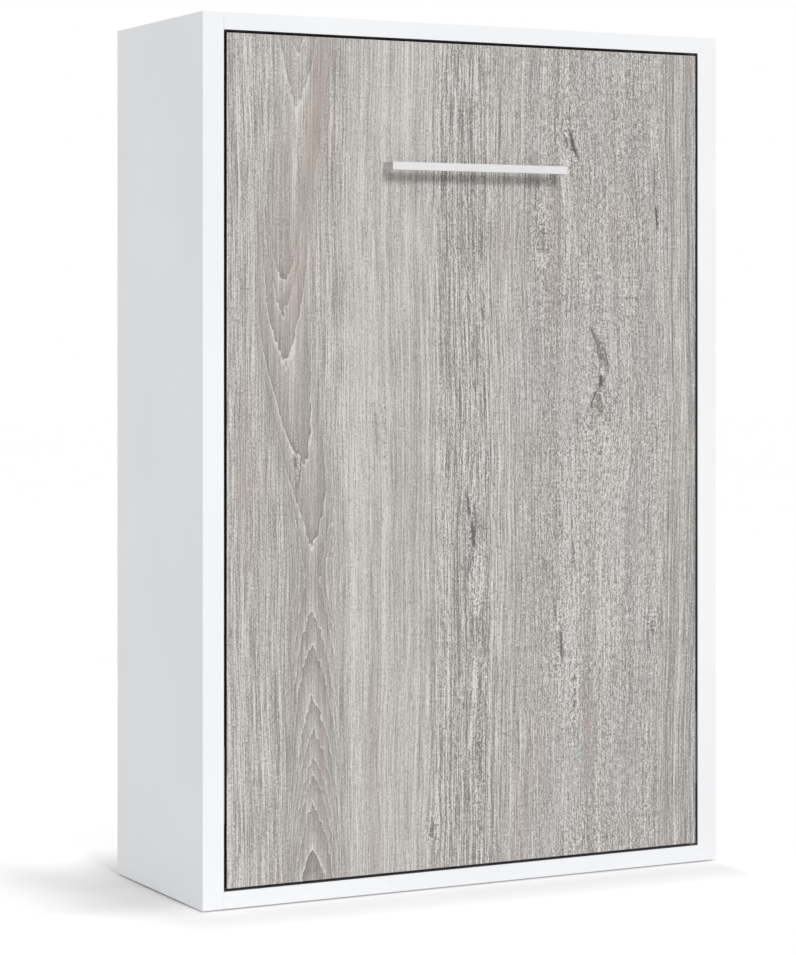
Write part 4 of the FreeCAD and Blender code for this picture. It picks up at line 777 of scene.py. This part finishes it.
def runTree(piece, tree, **values):
    modifier = piece.modifiers.new("nodes", "NODES")
    modifier.node_group = tree
    identifiers = {item.name: item.identifier for item in tree.interface.items_tree if item.in_out == "INPUT"}
    for name, value in values.items():
        modifier[identifiers[name]] = value
    return applied(piece)


# Fasteners: one head of each kind, repeated by a node tree at places that the CAD's pieces give

fastenerLook = {
    "countersunk": {"profile": ((0, 0), (6, 0), (5.7, -0.5), (3.2, -2.5), (3, -9), (0, -10)),
                    "recess": "cross", "reach": 3.4, "arm": 0.75, "depth": 1.7},
    "pan": {"profile": ((0, 2.1), (1.6, 2.05), (3, 1.6), (3.9, 0.8), (4.1, 0), (1.8, 0), (1.6, -9), (0, -11)),
            "recess": "cross", "reach": 2.3, "arm": 0.55, "depth": 1.2},
    "button": {"profile": ((0, 3), (3.6, 3), (6.2, 2.6), (7.6, 1.3), (8, 0), (3.9, 0), (3.8, -3), (0, -3)),
               "recess": "hexagon", "reach": 2.9, "arm": 0, "depth": 2.0},
    "cam": {"profile": ((0, -0.3), (6.6, -0.3), (7.4, -0.6), (7.4, -9), (0, -9)),
            "recess": "cross", "reach": 4.2, "arm": 1.0, "depth": 2.4},
}
headLook = {"count": 32, "above": 1.5, "taper": 0.8, "spin": 1.5, "seed": 7}


def recessOutline(kind, reach, arm):
    if kind == "hexagon":
        angles = [math.pi * step / 3 for step in range(6)]
        return [(reach * math.cos(angle), reach * math.sin(angle)) for angle in angles]
    corner = [(reach, -arm), (reach, arm), (arm, arm)]
    turns = ((1, 0, 0, 1), (0, -1, 1, 0), (-1, 0, 0, -1), (0, 1, -1, 0))
    return [(a * x + b * y, c * x + d * y) for a, b, c, d in turns for x, y in corner]


def fastenerHead(kind):
    look = fastenerLook[kind]
    verts, faces = lathe(look["profile"], headLook["count"])
    head = linkPiece(kind + "Head", meshFrom(kind + "Head", [Vector(vert) * mm for vert in verts], faces))
    top = look["profile"][0][1]
    outline = recessOutline(look["recess"], look["reach"], look["arm"])
    verts, faces = prism(outline, top - look["depth"], top + headLook["above"])
    verts = [Vector(vert) * mm for vert in verts]
    for vert in verts[:len(outline)]:
        vert.x, vert.y = vert.x * headLook["taper"], vert.y * headLook["taper"]
    cutter = linkPiece(kind + "Cutter", meshFrom(kind + "Cutter", verts, faces, False))
    cut = head.modifiers.new("recess", "BOOLEAN")
    cut.operation, cut.solver, cut.object = "DIFFERENCE", "EXACT", cutter
    applied(head)
    bpy.data.objects.remove(cutter)
    return head


def repeatTree():
    tree, start = newTree("repeatAtPlaces", Geometry="Geometry", Head="Object", Finish="Material")
    head = wire(tree, "GeometryNodeObjectInfo", {"Object": start["Head"]}, "Geometry",
                transform_space="ORIGINAL")
    axis = wire(tree, "GeometryNodeInputNamedAttribute", {"Name": "axis"}, "Attribute",
                data_type="FLOAT_VECTOR")
    turn = wire(tree, "FunctionNodeAlignRotationToVector", {"Vector": axis}, axis="Z")
    spin = wire(tree, "FunctionNodeRandomValue", {2: 0.0, 3: headLook["spin"], "Seed": headLook["seed"]}, 1,
                data_type="FLOAT")
    spun = wire(tree, "FunctionNodeRotateRotation", {"Rotation": turn, "Rotate By": joined(z=spin)},
                rotation_space="LOCAL")
    points = wire(tree, "GeometryNodeMeshToPoints", {"Mesh": start["Geometry"]})
    copies = wire(tree, "GeometryNodeInstanceOnPoints", {
        "Points": points, "Instance": head, "Rotation": spun})
    return endTree(tree, copies, start["Finish"])


headOf = {kind: fastenerHead(kind) for kind in fastenerLook}
atPlaces = repeatTree()


def fasteners(name, kind, heads, material=zinc, swaps=(), body="bed"):
    # heads: the place of each and the way that it faces
    mesh = bpy.data.meshes.new(name)
    places, ways = zip(*heads)
    mesh.from_pydata(places, [], [])
    axes = mesh.attributes.new("axis", "FLOAT_VECTOR", "POINT")
    for step, way in enumerate(ways):
        axes.data[step].vector = way
    piece = runTree(linkPiece(name, mesh), atPlaces, Head=headOf[kind], Finish=material)
    return settle(piece, swaps, body)


screwLook = {"bracketInset": 11.0, "bracketPlate": 2.0, "bracketReach": 12.0, "ledgerStep": 2,
             "battenAcross": (-0.48, -0.16, 0.16, 0.48), "battenSpread": 22.0, "boxReach": (32.0, 92.0)}
doorBack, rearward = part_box("front_panel")[1][1], Vector((0, 1, 0))


def sideways(side):
    return Vector((side, 0, 0))


def mechanismScrews():
    for low, high in looseParts("mechanism_screws"):
        side, inner, outer = sidesOf(low, high)
        yield middleOf(low, high, x=inner), sideways(-side)


def bracketScrews():
    inset, thick, reach = [screwLook[key] * mm for key in ("bracketInset", "bracketPlate", "bracketReach")]
    for low, high in looseParts("panel_brackets"):
        side, inner, outer = sidesOf(low, high)
        for level in (low.z + inset, high.z - inset):
            yield Vector((outer - side * reach, doorBack + thick, level)), rearward
            yield Vector((inner + side * thick, high.y - reach, level)), sideways(side)


def plateBolts():
    height = fastenerLook["button"]["profile"][0][1] * mm
    for low, high in looseParts("bed_plate_bolts"):
        side, inner, outer = sidesOf(low, high)
        yield middleOf(low, high, x=outer - side * height), sideways(side)


def camFaces():
    cabinetMiddle = middleOf(*boxOf("left_side_panel")).z
    for low, high in looseParts("cam_locks"):
        upper = low.z > cabinetMiddle
        yield middleOf(low, high, z=high.z if upper else low.z), Vector((0, 0, 1 if upper else -1))


def gripScrews():
    for low, high in looseParts("handle_screws"):
        yield middleOf(low, high, y=doorBack), rearward


def joinScrews():
    # ledgers midway between slats, then battens
    for name in bothSides("slat_ledger"):
        low, high = boxOf(name)
        side, inner, outer = sidesOf(low, high)
        for part in slatParts[:-1:screwLook["ledgerStep"]]:
            yield middleOf(low, high, x=inner, z=middleOf(*part).z + slatPitch / 2), sideways(-side)
    for low, high in looseParts("door_battens"):
        for x, turn in product(screwLook["battenAcross"], (-1, 1)):
            level = middleOf(low, high).z + turn * screwLook["battenSpread"] * mm
            yield Vector((x, high.y, level)), rearward


def boxScrews():
    rails, boards = bothSides("bed_rail"), ("head_board", "foot_board")
    for name, board, reach in product(rails, boards, screwLook["boxReach"]):
        low, high = boxOf(name)
        side, inner, outer = sidesOf(low, high)
        yield Vector((outer, low.y + reach * mm, middleOf(*boxOf(board)).z)), sideways(side)


slatParts = sorted(looseParts("slats"), key=lambda part: part[0].z)
slatPitch = slatParts[1][0].z - slatParts[0][0].z
fasteners("mechanismScrews", "countersunk", mechanismScrews(), zinc, ("mechanism_screws",), "cabinet")
fasteners("bracketScrews", "pan", bracketScrews())
fasteners("plateBolts", "button", plateBolts(), blackSteel, ("bed_plate_bolts",))
fasteners("camFaces", "cam", camFaces(), dieCast, ("cam_locks",), "cabinet")
fasteners("gripScrews", "pan", gripScrews(), zinc, ("handle_screws",))
fasteners("joinScrews", "pan", joinScrews())
fasteners("boxScrews", "countersunk", boxScrews())
print("fasteners done")


# Slats: bowed strips with rounded edges

def slatTree():
    sizes = ("Length", "Width", "Thickness", "Bow", "Corner", "Pitch", "First", "Front")
    inputs = dict.fromkeys(sizes, "Float") | dict.fromkeys(("Count", "Steps", "CornerSteps"), "Int")
    tree, start = newTree("bowedSlats", **inputs, Finish="Material")
    box = wire(tree, "GeometryNodeCurvePrimitiveQuadrilateral", {
        "Width": start["Thickness"], "Height": start["Width"]})
    rounded = wire(tree, "GeometryNodeFilletCurve", {
        "Curve": box, "Radius": start["Corner"], "Count": start["CornerSteps"]}, mode="POLY")
    half = start["Length"] / 2.0
    line = wire(tree, "GeometryNodeCurvePrimitiveLine", {"Start": joined(half * -1.0), "End": joined(half)})
    steps = wire(tree, "GeometryNodeResampleCurve", {"Curve": line, "Count": start["Steps"]})
    x, y, z = split(wire(tree, "GeometryNodeInputPosition"))
    share = x / half
    rise = (1.0 - share * share) * start["Bow"]
    bent = wire(tree, "GeometryNodeSetPosition", {"Geometry": steps, "Offset": joined(0.0, rise)})
    upright = wire(tree, "GeometryNodeSetCurveNormal", {"Curve": bent}, mode="Z_UP")
    slat = wire(tree, "GeometryNodeCurveToMesh", {
        "Curve": upright, "Profile Curve": rounded, "Fill Caps": True})
    row = wire(tree, "GeometryNodeMeshLine", {
        "Count": start["Count"], "Start Location": joined(0.0, start["Front"], start["First"]),
        "Offset": joined(0.0, 0.0, start["Pitch"])})
    copies = wire(tree, "GeometryNodeInstanceOnPoints", {"Points": row, "Instance": slat})
    return endTree(tree, copies, start["Finish"])


def slatRow():
    look = slatLook
    low, high = slatParts[0]
    thickness = look["thickness"] * mm
    piece = linkPiece("slatRow", bpy.data.meshes.new("slatRow"))
    runTree(piece, slatTree(), Length=high.x - low.x, Width=high.z - low.z, Thickness=thickness,
            Bow=look["bow"] * mm, Corner=look["corner"] * mm, Pitch=slatPitch, First=(low.z + high.z) / 2,
            Front=low.y + thickness / 2, Count=len(slatParts), Steps=look["steps"],
            CornerSteps=look["cornerSteps"], Finish=birch)
    return settle(piece, ("slats",))


print("slats done", [round(value, 4) for value in slatRow().dimensions])


# Mattress: two quilted panels and a border, blown up between the quilting lines

mattressLook = {
    "cell": 20.0, "corner": 38.0, "edge": 26.0, "inset": 6.0, "rim": 0.55, "panel": 0.7, "border": 0.6,
    "quilt": 8, "stitch": 6.0, "cap": 9.0, "fill": 0.85, "frames": 20, "play": 0.4,
    "underStrap": 1.0, "besideStrap": 12.0,
    "piping": 3.0, "pipingCount": 10, "seamInset": 3.5, "seamDrop": 22.0, "cornerSteps": 8,
    "cloth": {"quality": 5, "mass": 0.4, "tension_stiffness": 12, "compression_stiffness": 12,
              "shear_stiffness": 6, "bending_stiffness": 2.0, "use_pressure": True,
              "uniform_pressure_force": 4.0, "vertex_group_mass": "pins"},
}


def roundedBox(low, high, cell, corner):
    # a box of nearly square cells, its four corners round as seen from the front
    size = high - low
    counts = [max(2, round(size[axis] / cell)) for axis in range(3)]
    index, verts, faces = {}, [], []

    def point(key):
        if key not in index:
            index[key] = len(verts)
            verts.append(Vector([low[axis] + size[axis] * key[axis] / counts[axis] for axis in range(3)]))
        return index[key]

    for axis in range(3):
        first, second = (axis + 1) % 3, (axis + 2) % 3
        for end, a, b in product((0, counts[axis]), range(counts[first]), range(counts[second])):
            corners = []
            for da, db in ((0, 0), (1, 0), (1, 1), (0, 1)):
                key = [0, 0, 0]
                key[axis], key[first], key[second] = end, a + da, b + db
                corners.append(point(tuple(key)))
            faces.append(corners if end else corners[::-1])
    middle, half = (low + high) / 2, size / 2
    for vert in verts:
        place = vert - middle
        core = Vector([max(corner - half[axis], min(half[axis] - corner, place[axis])) for axis in range(3)])
        away = Vector((place.x - core.x, 0, place.z - core.z))
        if abs(away.x) > 0 and abs(away.z) > 0:
            away = away * (max(abs(away.x), abs(away.z)) / away.length)
            vert.x, vert.z = middle.x + core.x + away.x, middle.z + core.z + away.z
    return verts, faces


def blowUp(piece, pinned):
    # cloth under pressure, pinned at the quilting lines, each corner moved by the cap at most
    look = mattressLook
    piece.vertex_groups.new(name="pins").add(pinned, 1.0, "REPLACE")
    cloth = piece.modifiers.new("cloth", "CLOTH")
    for key, value in look["cloth"].items():
        setattr(cloth.settings, key, value)
    cloth.settings.effector_weights.gravity = 0
    cloth.collision_settings.use_collision = False
    for frameNumber in range(1, look["frames"] + 1):
        scene.frame_set(frameNumber)
    blown = evaluated(piece)
    moved = [vert.co.copy() for vert in blown.vertices]
    bpy.data.meshes.remove(blown)
    piece.modifiers.clear()
    piece.vertex_groups.clear()
    scene.frame_set(1)
    cap = look["cap"] * mm
    for vert, end in zip(piece.data.vertices, moved):
        shift = end - vert.co
        if shift.length > cap:
            shift = shift * (cap / shift.length)
        vert.co = vert.co + shift


def mattressPiece():
    look = mattressLook
    cell, edge, panelDepth = look["cell"] * mm, look["edge"] * mm, look["edge"] * look["panel"] * mm
    outerLow, outerHigh = boxOf("mattress")
    inset = Vector((look["inset"] * mm,) * 3)
    low, high = outerLow + inset, outerHigh - inset
    middle, half = (low + high) / 2, (high - low) / 2
    verts, faces = roundedBox(low, high, cell, look["corner"] * mm)
    pinned, quilt = [], look["quilt"]
    for step, vert in enumerate(verts):
        place = vert - middle
        # the panels' rims curve down to the border
        reach = [max(0.0, abs(place[axis]) - (half[axis] - edge)) / edge for axis in (0, 2)]
        near = min(1.0, math.hypot(*reach))
        beyond = abs(place.y) - (half.y - edge)
        if beyond > 0:
            rim = (1 - math.sqrt(1 - near * near)) * edge * look["rim"]
            vert.y -= math.copysign(rim * beyond / edge, place.y)
        # the quilting lines cross the panels aslant, and one more line goes round each rim
        fromMiddle = abs(vert.y - middle.y)
        across, along = round((vert.x - low.x) / cell), round((vert.z - low.z) / cell)
        panel = abs(fromMiddle - half.y) < panelDepth
        onLine = (across + along) % quilt == 0 or (across - along) % quilt == 0
        rimLine = abs(fromMiddle - (half.y - edge)) < cell * 0.5 and not panel
        if (panel and onLine) or rimLine:
            pinned.append(step)
    mesh = meshFrom("mattressShell", verts, [tuple(face) for face in faces])
    piece = linkPiece("mattressShell", mesh)
    blowUp(piece, pinned)
    # quilting lines pulled in, flat under the straps, all kept inside the CAD's box
    pulled, play, beside = set(pinned), look["play"] * mm, look["besideStrap"] * mm
    straps = [(part[0].z - beside, part[1].z + beside) for part in looseParts("bedding_straps")]
    for vert in mesh.vertices:
        place = vert.co
        if vert.index in pulled and abs(abs(place.y - middle.y) - half.y) < panelDepth:
            place.y += (-1 if place.y > middle.y else 1) * look["stitch"] * mm
        if place.y > middle.y and any(bottom < place.z < top for bottom, top in straps):
            place.y = min(place.y, outerHigh.y - look["underStrap"] * mm)
        for axis in range(3):
            place[axis] = max(outerLow[axis] + play, min(outerHigh[axis] - play, place[axis]))
    smooth = piece.modifiers.new("smooth", "SUBSURF")
    smooth.levels = smooth.render_levels = 1
    applied(piece)
    piece.data.materials.clear()
    for material in (tickingPanel, tickingBorder):
        piece.data.materials.append(material)
    for face in piece.data.polygons:
        face.use_smooth = True
        face.material_index = 1 if abs(face.center.y - middle.y) < half.y - edge * look["border"] else 0
    settle(piece, ("mattress",))
    return piece


def tube(path, radius, count):
    # closed ring of round section along a closed path in the XZ plane
    verts, total = [], len(path)
    for step, place in enumerate(path):
        out = (path[(step + 1) % total] - path[step - 1]).normalized().cross(Vector((0, 1, 0)))
        for turn in range(count):
            angle = 2 * math.pi * turn / count
            verts.append(place + out * (radius * math.cos(angle)) + Vector((0, radius * math.sin(angle), 0)))
    return verts, ringFaces(total, count, closed=True)


def mattressPiping():
    look = mattressLook
    low, high = boxOf("mattress")
    middle, half = (low + high) / 2, (high - low) / 2
    corner, steps = look["corner"] * mm, look["cornerSteps"]
    reachX, reachZ = [half[axis] - look["seamInset"] * mm - corner for axis in (0, 2)]
    rings = []
    for side in (-1, 1):
        level = middle.y + side * (half.y - look["seamDrop"] * mm)
        path = []
        for quarter, (turnX, turnZ) in enumerate(((1, 1), (-1, 1), (-1, -1), (1, -1))):
            for step in range(steps + 1):
                angle = math.pi / 2 * (quarter + step / steps)
                path.append(Vector((middle.x + turnX * reachX + corner * math.cos(angle), level,
                                    middle.z + turnZ * reachZ + corner * math.sin(angle))))
        rings.append(tube(path, look["piping"] * mm, look["pipingCount"]))
    mesh = meshFrom("mattressPiping", *combined(rings))
    settle(linkPiece("mattressPiping", mesh, tickingPiping))


mattress = mattressPiece()
mattressPiping()
print("mattress done", len(mattress.data.polygons), [round(value, 4) for value in mattress.dimensions])


# Straps: flat webbing across the mattress, ends screwed to the rails

strapLook = {"thickness": 2.5, "play": 0.1, "bend": 22.0, "edge": 0.9,
             "bendSteps": 8, "sideSteps": 10, "acrossSteps": 60,
             "tail": 150.0, "tailStart": 30.0, "tailSteps": 20, "tailInset": 0.5, "tailThickness": 2.0,
             "wave": 1.2, "lift": 0.4,
             "plate": 1.6, "plateHeight": 15.0, "plateRise": 5.0, "plateInset": 1.0, "plateRound": 0.5,
             "screw": 16.0}


def sweepBand(path, low, high, thickness, edge):
    # a band of even thickness along a plane path, its long edges rounded
    angles = [math.radians(angle) for angle in range(-90, 91, 45)]
    upper = [(-thickness / 2 * math.sin(angle), high - edge + edge * math.cos(angle)) for angle in angles]
    section = upper + [(-side, low + (high - level)) for side, level in upper]
    verts, count, last = [], len(section), len(path) - 1
    for step, place in enumerate(path):
        run = (path[min(last, step + 1)] - path[max(0, step - 1)]).normalized()
        verts += [(place.x - run.y * side, place.y + run.x * side, level) for side, level in section]
    ends = [tuple(range(count)), tuple(range(last * count, (last + 1) * count))[::-1]]
    return verts, ringFaces(len(path), count) + ends


def strapPath(low, high):
    look = strapLook
    half = look["thickness"] * mm / 2
    outerX, topY, radius = high.x - half, high.y - half, look["bend"] * mm + half
    turnX, turnY, steps = outerX - radius, topY - radius, look["sideSteps"]
    right = [Vector((outerX, low.y + (turnY - low.y) * step / steps)) for step in range(steps)]
    for step in range(look["bendSteps"] + 1):
        angle = math.pi / 2 * step / look["bendSteps"]
        right.append(Vector((turnX + radius * math.cos(angle), turnY + radius * math.sin(angle))))
    steps = look["acrossSteps"]
    across = [Vector((turnX * (1 - 2 * step / steps), topY)) for step in range(1, steps)]
    return right + across + [Vector((-place.x, place.y)) for place in reversed(right)]


def strapSet():
    look = {key: value if key.endswith("Steps") else value * mm for key, value in strapLook.items()}
    bands, tails, screws = [], [], []
    plates = bmesh.new()
    for low, high in looseParts("bedding_straps"):
        path = strapPath(low, high)
        bands.append(sweepBand(path, low.z, high.z, look["thickness"] - look["play"], look["edge"]))
        # the free tail beyond the buckle
        steps, inset = look["tailSteps"], look["tailInset"]
        tailY = high.y + look["thickness"] / 2 + look["lift"]
        tail = [Vector((look["tailStart"] + look["tail"] * step / steps,
                        tailY + look["wave"] * math.sin(step * 0.5) ** 2)) for step in range(steps + 1)]
        tails.append(sweepBand(tail, low.z + inset, high.z - inset, look["tailThickness"], look["edge"]))
        # end plates, each with two screws
        outer = high.x - look["thickness"]
        inner, middleZ = outer - look["plate"], (low.z + high.z) / 2
        middleY = low.y + look["plateRise"] + look["plateHeight"] / 2
        size = Vector((look["plate"], look["plateHeight"], high.z - low.z - 2 * look["plateInset"]))
        for side in (1, -1):
            middle = Vector((side * (outer + inner) / 2, middleY, middleZ))
            bmesh.ops.create_cube(plates, size=1, matrix=Matrix.LocRotScale(middle, None, size))
            screws += [(Vector((side * inner, middleY, middleZ + turn * look["screw"])), sideways(-side))
                       for turn in (-1, 1)]
    mesh = meshFrom("strapBands", *combined(bands + tails))
    settle(linkPiece("strapBands", mesh, strapCloth), ("bedding_straps",))
    mesh = bpy.data.meshes.new("strapPlates")
    plates.to_mesh(mesh)
    plates.free()
    settle(bevelled(linkPiece("strapPlates", mesh, zinc), look["plateRound"]))
    fasteners("strapScrews", "pan", screws)
    return sum((after - before).length for before, after in zip(path, path[1:]))


print("straps done, each", round(strapSet(), 3), "long")


# Buckles: a socket with side windows, a prong part and its bar, each an outline and its depth from and to

buckleLook = {
    "socket": (((-2, -24), (-2, -28), (20, -28), (29, -25), (33, -22), (33, 22), (29, 25), (20, 28), (-2, 28),
                (-2, 24), (6, 21), (15, 21), (15, 18), (2, 18), (-2, 15), (-6, 12), (-6, -12), (-2, -15),
                (2, -18), (15, -18), (15, -21), (6, -21)), 0.5, 12.0),
    "prongs": (((-33, -26), (-20, -27), (-12, -25), (-4, -20), (12, -20), (14, -16), (2, -13), (-8, -9),
                (-8, 9), (2, 13), (14, 16), (12, 20), (-4, 20), (-12, 25), (-20, 27), (-33, 26)), 2.6, 9.4),
    "bar": (((-31, -24), (-24, -24), (-24, 24), (-31, 24)), 1.0, 11.4),
    "round": 1.6, "segments": 3,
}


def buckleSet():
    look, shapes = buckleLook, []
    for low, high in looseParts("strap_buckles"):
        middle = (low.z + high.z) / 2
        for part in ("socket", "prongs", "bar"):
            verts, faces = prism(*look[part])
            shapes.append(([Vector((x * mm, low.y + z * mm, middle + y * mm)) for x, y, z in verts], faces))
    piece = linkPiece("strapBuckles", meshFrom("strapBuckles", *combined(shapes), False), blackPlastic)
    return settle(bevelled(piece, look["round"] * mm, look["segments"]), ("strap_buckles",))


print("buckles done", len(buckleSet().data.polygons))

for head in headOf.values():
    bpy.data.objects.remove(head)


# Floor, lamps and camera

stageLook = {
    "size": 60.0, "floor": (0.80, 0.80, 0.805, 1), "shade": 0.785, "halfWidth": 0.74, "halfDepth": 0.28,
    # how far the seen floor is lifted towards white, painted light that thins the shadows round the cabinet
    # and keeps some shade at its base: from, to, lift at each
    "contact": (0.03, 0.42, 0.03, 0.38), "far": (0.5, 6.0, 0.0, 0.34), "front": (-0.05, -0.30, 0.0, 0.24),
    "right": (0.70, 0.80, 0.0, 0.32), "behind": (0.15, 0.45, 0.0, 0.26), "behindSide": (1.0, 0.72),
    "most": 0.42,
}


def seenRays(tree):
    rays = wires(tree, "ShaderNodeLightPath")
    return most(most(rays["Is Camera Ray"], rays["Is Glossy Ray"]), rays["Is Transmission Ray"])


def paleFloor():
    look = stageLook
    material, place = newMaterial("paleFloor")
    tree = place.tree
    colour = mix(noise(place, 0.6), look["floor"], grey(look["shade"]))
    diffuse = wire(tree, "ShaderNodeBsdfDiffuse", {"Color": colour})
    x, y, z = split(place)
    aside = abs(x)
    sideGap, depthGap = most(aside - look["halfWidth"], 0.0), most(abs(y) - look["halfDepth"], 0.0)
    away = calc("SQRT", sideGap * sideGap + depthGap * depthGap)
    # painted light: the seen floor glows, more away from the cabinet and in front of and right of it, lifting
    # its shadows
    lift = 0.0
    for value, side in ((away, "contact"), (away, "far"), (y, "front"), (x, "right")):
        lift = calc("ADD", lift, remap(value, *look[side]))
    # painted light: the floor glows more behind the cabinet, where the sun's shadow falls
    lift = least(lift, look["most"]) + remap(y, *look["behind"]) * remap(aside, *look["behindSide"])
    glow = wire(tree, "ShaderNodeEmission", {"Color": grey(1.0), "Strength": lift})
    both = wire(tree, "ShaderNodeAddShader", {0: diffuse, 1: glow})
    chosen = wire(tree, "ShaderNodeMixShader", {0: seenRays(tree), 1: diffuse, 2: both})
    addNode(tree, "ShaderNodeOutputMaterial", {0: chosen})
    half = look["size"] / 2
    mesh = bpy.data.meshes.new("floor")
    corners = [(x * half, y * half, 0) for x, y in ((-1, -1), (1, -1), (1, 1), (-1, 1))]
    mesh.from_pydata(corners, [], [(0, 1, 2, 3)])
    linkPiece("floor", mesh, material)


lampLook = {
    "sky": 0.48,
    "sun": {"height": 28.0, "spread": 16.0, "strength": 1.67},    # degrees above the horizon, from the front
    "fill": {"place": (-9.0, 0.1, 2.2), "aim": (-0.74, 0, 1.0), "size": 4.0, "power": 115.0},
}


def light():
    look, sunLook, fillLook = lampLook, lampLook["sun"], lampLook["fill"]
    world = bpy.data.worlds.new("studio")
    scene.world = world
    world.use_nodes = True
    tree = world.node_tree
    tree.nodes.clear()
    strength = timesPlus(seenRays(tree), 1.0 - look["sky"], look["sky"])
    background = wire(tree, "ShaderNodeBackground", {"Color": grey(1.0), "Strength": strength})
    addNode(tree, "ShaderNodeOutputWorld", {0: background})
    sun = bpy.data.lights.new("sun", "SUN")
    sun.energy, sun.angle = sunLook["strength"], math.radians(sunLook["spread"])
    linkPiece("sun", sun).rotation_euler = (math.radians(90 - sunLook["height"]), 0, 0)
    fill = bpy.data.lights.new("fill", "AREA")
    fill.size, fill.energy = fillLook["size"], fillLook["power"]
    lamp = linkPiece("fill", fill)
    lamp.location = fillLook["place"]
    lamp.rotation_euler = (Vector(fillLook["aim"]) - lamp.location).to_track_quat("-Z", "Y").to_euler()


cameraLook = {
    "focalPixels": 2893.03,    # in pixels of the 796 x 955 picture
    "imageHeight": 955, "horizonPixel": 322.88, "sensor": 36,
    "yaw": -0.4789,
    "place": (-3.54192, -6.66727, 1.42604),
}


def placeCamera():
    look = cameraLook
    data = bpy.data.cameras.new("camera")
    data.sensor_width = look["sensor"]
    data.lens = look["sensor"] * look["focalPixels"] / look["imageHeight"]
    data.shift_y = look["horizonPixel"] / look["imageHeight"] - 0.5
    camera = linkPiece("camera", data)
    camera.location = look["place"]
    camera.rotation_euler = (math.pi / 2, 0, look["yaw"])
    scene.camera = camera


scene.view_settings.view_transform = "Standard"
paleFloor()
light()
placeCamera()
print("stage done")
